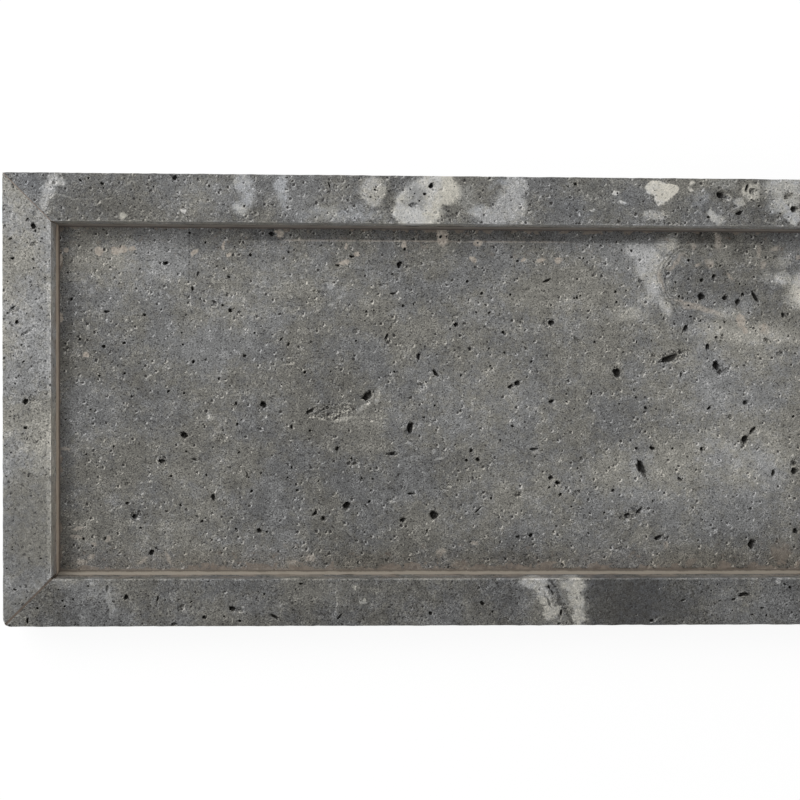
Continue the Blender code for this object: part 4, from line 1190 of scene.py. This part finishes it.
def carve(piece, pits, forms, finishes, rng):
    """Cuts pits out of a piece, layer by layer. Each kind has the finish that its pits have inside."""
    by_kind = dict(zip(PIT_KINDS, finishes))
    for layer in layers_of(pits):
        cutters = [cutter_of(pit, rng.choice(forms[pit.kind]), by_kind[pit.kind]) for pit in layer]
        bpy.ops.object.select_all(action="DESELECT")
        for cutter in cutters:
            cutter.select_set(True)
        bpy.context.view_layer.objects.active = cutters[0]
        bpy.ops.object.join()
        cutter = bpy.context.object
        subtract(piece, cutter)
        bpy.data.objects.remove(cutter)


def leaning(turn=0):
    """The same line across a pit, turned so that the pit leans back under its upper left side."""
    upper_left = -LIT_WAY.x * cos(radians(turn)) - LIT_WAY.y * sin(radians(turn))
    return turn if upper_left > 0 else turn + 180


def shown_pits(holes, dishes, pits, level):
    """The pits of the photograph on a level face."""
    found = []
    for kind, rows in (("dish", dishes), ("hole", holes)):
        for x, y, length, width, *turn in rows:
            deep = min(DEEPEST_HOLE, HOLE_DEPTH_SHARE * width * PIXEL + LEAST_HOLE_DEPTH)
            size = (length * PIXEL, width * PIXEL, DISH_DEPTH if kind == "dish" else deep)
            found.append(Pit(kind, on_level(x, y, level), UP, *size, leaning(*turn)))
    for number, (x, y, width) in enumerate(pits):
        size = width * PIXEL
        sizes = (size, PIT_WIDTH_SHARE * size, PIT_DEPTH_SHARE * size)
        found.append(Pit("pit", on_level(x, y, level), UP, *sizes, PIT_TURN_STEP * number))
    return found


def scattered(rng, low, high, outward, counts, share=1.0, clear_of=()):
    """Pits strewn over a face of a box, clear of those that are there."""
    found = []
    for kind, count, smallest, largest in counts:
        least, most = smallest * MM, largest * MM
        for _ in range(round(count * share)):
            place = Vector([rng.uniform(a + STREWN_MARGIN, b - STREWN_MARGIN) for a, b in zip(low, high)])
            for axis in range(3):
                if outward[axis]:
                    place[axis] = high[axis] if outward[axis] > 0 else low[axis]
            length = least + (most - least) * rng.random() ** SMALL_SIZE_BIAS
            width = length * rng.uniform(0.55, 1.0)
            depth = (HOLE_DEPTH_SHARE if kind == "hole" else PINHOLE_DEPTH_SHARE) * width + 0.2 * MM
            turn = rng.uniform(0, 180)
            pit = Pit(kind, place, outward, length, width, depth, turn)
            if is_clear(pit, clear_of, STREWN_CLEARANCE):
                found.append(pit)
    return found


def wall_of(side):
    """A point on the wall of the well, halfway along a side."""
    return Vector((WALL_X * OUTWARD[side].x, WALL_Y * OUTWARD[side].y, 0))


def mitre_planes(side):
    """The two planes that end a side's rail: a point and an outward direction each."""
    outward, along = OUTWARD[side], ALONG[side]
    planes = []
    for way in (-1, 1):
        ways = outward + along * way
        point = Vector((HALF_LENGTH * ways.x, HALF_WIDTH * ways.y, 0))
        away = (along * way - outward).normalized()
        planes.append((point - away * MITRE_HALF_GAPS[round(ways.x), round(ways.y)], away))
    return planes


def model_rail(side):
    """A stone strip of the rim: mitred, its corners rounded and its edges worn."""
    outward, along, wall = OUTWARD[side], ALONG[side], wall_of(side)
    low = Vector((-HALF_LENGTH, -HALF_WIDTH, STONE_BASE))
    high = Vector((HALF_LENGTH, HALF_WIDTH, RAIL_TOP))
    rail = add_block("rail_" + side, low, high)
    start_edit(rail)
    round_corners(rail)
    for point, away in ((wall, -outward), *mitre_planes(side)):
        cut_off(point, away)
    bevel(rail, is_level_rim, ARRIS, 2, 0.6)
    slice_along(low, along, (high - low).dot(along), RAIL_SLICE)
    end_edit()
    outer, inner = abs(outward.dot(high)), abs(outward.dot(wall))

    def is_worn(co):
        """True on the four long worn edges."""
        across = co.dot(outward)
        level_gap = min(abs(co.z - RAIL_TOP), abs(co.z - STONE_BASE))
        side_gap = min(abs(across - outer), abs(across - inner))
        return max(level_gap, side_gap) < 1.3 * ARRIS

    wear(rail, "worn", is_worn, (5 * MM, 0.35 * MM, 0.75), (1.6 * MM, 0.22 * MM, 0.6))
    return rail


def finish_rail(side, forms):
    """A rail with its pits and its stone."""
    node, look = "rail_" + side, LOOKS[side]
    rng = random.Random("rail " + side)
    rail = model_rail(side)
    low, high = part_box(node)
    rail.data.materials.append(rail_stone(side))
    hollows = hollow_finishes(node, low, high, look.tone, look.seed)
    share = (high - low).dot(ALONG[side]) / (2 * HALF_LENGTH)
    pits = shown_pits(*SHOWN_PITS[side], RAIL_TOP)
    top = STREWN["shown top" if pits else "unseen top"]
    pits += scattered(rng, low, high, UP, top, share, pits)
    pits += scattered(rng, low, high, OUTWARD[side], STREWN["outside"], share)
    pits += scattered(rng, low, high, DOWN, STREWN["underside"], share)
    carve(rail, pits, forms, hollows, rng)
    stand_for(rail, node, "rail_stone", STONE_SMOOTHING)


def finish_floor(forms):
    """The slab of the well with its pits and its stone."""
    rng = random.Random("floor")
    low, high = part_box("floor_panel")
    slab = add_block("floor_panel", low, high)
    start_edit(slab)
    bevel(slab, lambda edge: lies_at(edge, low.z), ARRIS, 2, 0.6)
    end_edit()
    hollows = hollow_finishes("floor", low, high, FLOOR_TONE, FLOOR_SEED, FLOOR_DISH_LIFT)
    slab.data.materials.append(floor_stone())
    pits = shown_pits(FLOOR_HOLES, FLOOR_DISHES, FLOOR_PITS, FLOOR_TOP)
    unseen = Vector((on_floor(*PHOTO_END).x, low.y, low.z))
    pits += scattered(rng, unseen, high, UP, STREWN["unseen floor"], clear_of=pits)
    pits += scattered(rng, low, high, UP, STREWN["floor"], clear_of=pits)
    pits += scattered(rng, low, high, DOWN, STREWN["floor's underside"])
    carve(slab, pits, forms, hollows, rng)
    stand_for(slab, "floor_panel", "floor_stone", STONE_SMOOTHING)


def model_strip(name, side, base, top, planes, middle, gap):
    """A strip of resin along a wall of the well, cut by planes, mitred at its ends and ringed to be worn."""
    outward, along = OUTWARD[side], ALONG[side]
    low = Vector((-WALL_X - OVERLAP, -WALL_Y - OVERLAP, base))
    high = Vector((WALL_X + OVERLAP, WALL_Y + OVERLAP, top))
    strip = add_block(name, low, high)
    start_edit(strip)
    for point, away in planes:
        cut_off(point, away)
    for way in (-1, 1):
        corner = wall_of(side) + along * way * (WALL_X if along.x else WALL_Y)
        cut_off(corner, (along * way - outward).normalized())
    cut_ring(middle, outward)
    slice_along(low, along, (high - low).dot(along), gap)
    end_edit()
    return strip


def finish_bead(side, finish):
    """The fillet of resin at the foot of a wall: uneven, and mitred into its neighbours."""
    outward, wall = OUTWARD[side], wall_of(side)
    over_floor, up_wall = BEAD_LEGS[side]
    foot = FLOOR_TOP - OVERLAP
    toe = wall - outward * over_floor + Vector((0, 0, foot))
    slant = (-outward * up_wall + UP * over_floor).normalized()
    planes = ((toe, -outward), (toe + UP * OVERLAP, slant))
    middle = wall - outward * over_floor * 0.5
    bead = model_strip("bead_" + side, side, foot, foot + up_wall, planes, middle, BEAD_SLICE)
    back = wall.dot(outward)

    def is_slant(co):
        """True on the bead's slanting face."""
        return co.z > foot + 0.5 * OVERLAP and co.dot(outward) < back

    wear(bead, "slant", is_slant, (6 * MM, 0.7 * MM, 0.45), (1.8 * MM, 0.25 * MM, 0.5))
    stand_for(bead, "bead_" + side, "bead_resin", RESIN_SMOOTHING, finish)


def finish_joint(side, finish):
    """The strip of resin between the floor's edge and a rail, sunk a little at the underside."""
    outward, wall = OUTWARD[side], wall_of(side)
    edge = Vector((FLOOR_X * outward.x, FLOOR_Y * outward.y, 0))
    planes = ((edge - outward * OVERLAP, -outward),)
    base, top = STONE_BASE + 0.3 * MM, FLOOR_TOP - OVERLAP
    joint = model_strip("joint_" + side, side, base, top, planes, (wall + edge) / 2, JOINT_SLICE)
    wear(joint, "underside", lambda co: co.z < STONE_BASE + 0.5 * MM, (4 * MM, 0.4 * MM))
    stand_for(joint, "joint_" + side, "seam_resin", RESIN_SMOOTHING, finish)


def finish_seam(corner, finish):
    """The sheet of resin in a mitre, a little proud of the stone in places."""
    x_way, y_way = CORNER_WAYS[corner]
    outer = Vector((x_way * HALF_LENGTH, y_way * HALF_WIDTH, 0))
    inner = Vector((x_way * WALL_X, y_way * WALL_Y, 0))
    outwards = Vector((x_way, y_way, 0)).normalized()
    across = Vector((x_way, -y_way, 0)).normalized()
    low = Vector((-HALF_LENGTH, -HALF_WIDTH, STONE_BASE + 0.1 * MM))
    high = Vector((HALF_LENGTH, HALF_WIDTH, RAIL_TOP - 0.05 * MM))
    seam = add_block("seam_" + corner, low, high)
    start_edit(seam)
    round_corners(seam)
    for way in (-1, 1):
        cut_off(outer + across * way * (MITRE_HALF_GAPS[x_way, y_way] + OVERLAP), across * way)
    cut_off(inner, -outwards)
    span = (outer - inner).length
    slice_along(inner, outwards, span, span / SEAM_SLICES)
    cut_ring(outer, across)
    end_edit()

    def is_edge(co):
        """True along the sheet's top and underside."""
        return co.z > RAIL_TOP - 0.2 * MM or co.z < STONE_BASE + 0.2 * MM

    wear(seam, "edge", is_edge, (3 * MM, 0.25 * MM, 0.55))
    stand_for(seam, "seam_" + corner, "seam_resin", SEAM_SMOOTHING, finish)


def finish_pad(corner, finish):
    """A round rubber pad: a rolled edge and a ring pressed into its underside."""
    low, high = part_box("pad_" + corner)
    size = {"radius": (high.x - low.x) / 2, "depth": high.z - low.z}
    bpy.ops.object.select_all(action="DESELECT")
    bpy.ops.mesh.primitive_cylinder_add(vertices=PAD_SIDES, location=(low + high) / 2, **size)
    pad = bpy.context.object
    pad.name = "pad_" + corner
    bpy.ops.object.transform_apply(location=True)
    start_edit(pad)
    bevel(pad, lambda edge: lies_at(edge, low.z), PAD_EDGE, 4)
    pick(pad, "FACE", lambda face: face.normal.z < -0.99)
    for width, rise in PAD_STEPS:
        bpy.ops.mesh.inset(thickness=width)
        bpy.ops.transform.translate(value=(0, 0, rise))
    end_edit()
    stand_for(pad, "pad_" + corner, "pad_rubber", PAD_SMOOTHING, finish)


def add_to_scene(name, data, place, turn):
    """Puts a camera or a lamp in the scene."""
    made = bpy.data.objects.new(name, data)
    made.location = place
    made.rotation_euler = turn
    bpy.context.collection.objects.link(made)
    return made


def set_camera():
    """The photograph's own view."""
    data = bpy.data.cameras.new("camera")
    data.sensor_width = SENSOR_WIDTH
    data.lens = LENS
    bpy.context.scene.camera = add_to_scene("camera", data, CAMERA_PLACE, CAMERA_TURN)


def set_light():
    """One large soft box from the upper left, and an even surround that the camera sees white."""
    data = bpy.data.lights.new("soft_box", "AREA")
    data.shape = "SQUARE"
    data.size = LAMP_SIDE
    data.energy = LAMP_POWER
    turn = LAMP_WAY.to_track_quat("Z", "Y").to_euler()
    add_to_scene("soft_box", data, LAMP_WAY.normalized() * LAMP_DISTANCE, turn)
    world = bpy.data.worlds.new("surround")
    bpy.context.scene.world = world
    recipe = Recipe(world)
    kinds = ("Camera", "Glossy", "Transmission")
    seen = recipe.most(recipe.node("ShaderNodeLightPath", output=f"Is {kind} Ray") for kind in kinds)
    white = {"Color": (1, 1, 1, 1)}
    dim = recipe.node("ShaderNodeBackground", None, {**white, "Strength": WORLD_LIGHT})
    bright = recipe.node("ShaderNodeBackground", None, {**white, "Strength": 1.0})
    mixed = recipe.node("ShaderNodeMixShader", None, {0: seen, 1: dim, 2: bright})
    recipe.node("ShaderNodeOutputWorld", None, {"Surface": mixed})


def set_table():
    """A plain white surface under the tray, which keeps its shadow."""
    bpy.ops.object.select_all(action="DESELECT")
    bpy.ops.mesh.primitive_plane_add(size=4)
    table = bpy.context.object
    table.name = "table"
    recipe = new_recipe("table_white")
    path = recipe.node("ShaderNodeLightPath", output="Is Camera Ray")
    pale = recipe.node("ShaderNodeBsdfDiffuse", None, {"Color": (0.8, 0.8, 0.8, 1)})
    bright = recipe.node("ShaderNodeEmission", None, {"Color": (1, 1, 1, 1), "Strength": 0.9})
    shaded = recipe.node("ShaderNodeBsdfDiffuse", None, {"Color": (0.16, 0.16, 0.16, 1)})
    seen = recipe.node("ShaderNodeAddShader", None, {0: bright, 1: shaded})
    mixed = recipe.node("ShaderNodeMixShader", None, {0: path, 1: pale, 2: seen})
    recipe.node("ShaderNodeOutputMaterial", None, {"Surface": mixed})
    table.data.materials.append(recipe.owner)


def build():
    """Makes the camera, the light and every piece of the tray."""
    bpy.context.scene.view_settings.view_transform = "Standard"
    set_camera()
    set_light()
    set_table()
    forms = {}
    for kind, shape in PIT_KINDS.items():
        forms[kind] = [model_pit_form(kind, number) for number in range(shape.count)]
    finish_floor(forms)
    seam_finish = resin("seam_resin", *SEAM_COLOURS)
    corner_finishes = {corner: resin(*values) for corner, values in CORNER_COLOURS.items()}
    for side in OUTWARD:
        finish_rail(side, forms)
        finish_joint(side, seam_finish)
        finish_bead(side, resin(f"bead_{side}_resin", *BEAD_COLOURS[side], 0.5, side))
    pad_finish = rubber()
    for corner in CORNER_WAYS:
        finish_seam(corner, corner_finishes.get(corner, seam_finish))
        finish_pad(corner, pad_finish)
    for group in forms.values():
        for form in group:
            bpy.data.objects.remove(form)


build()
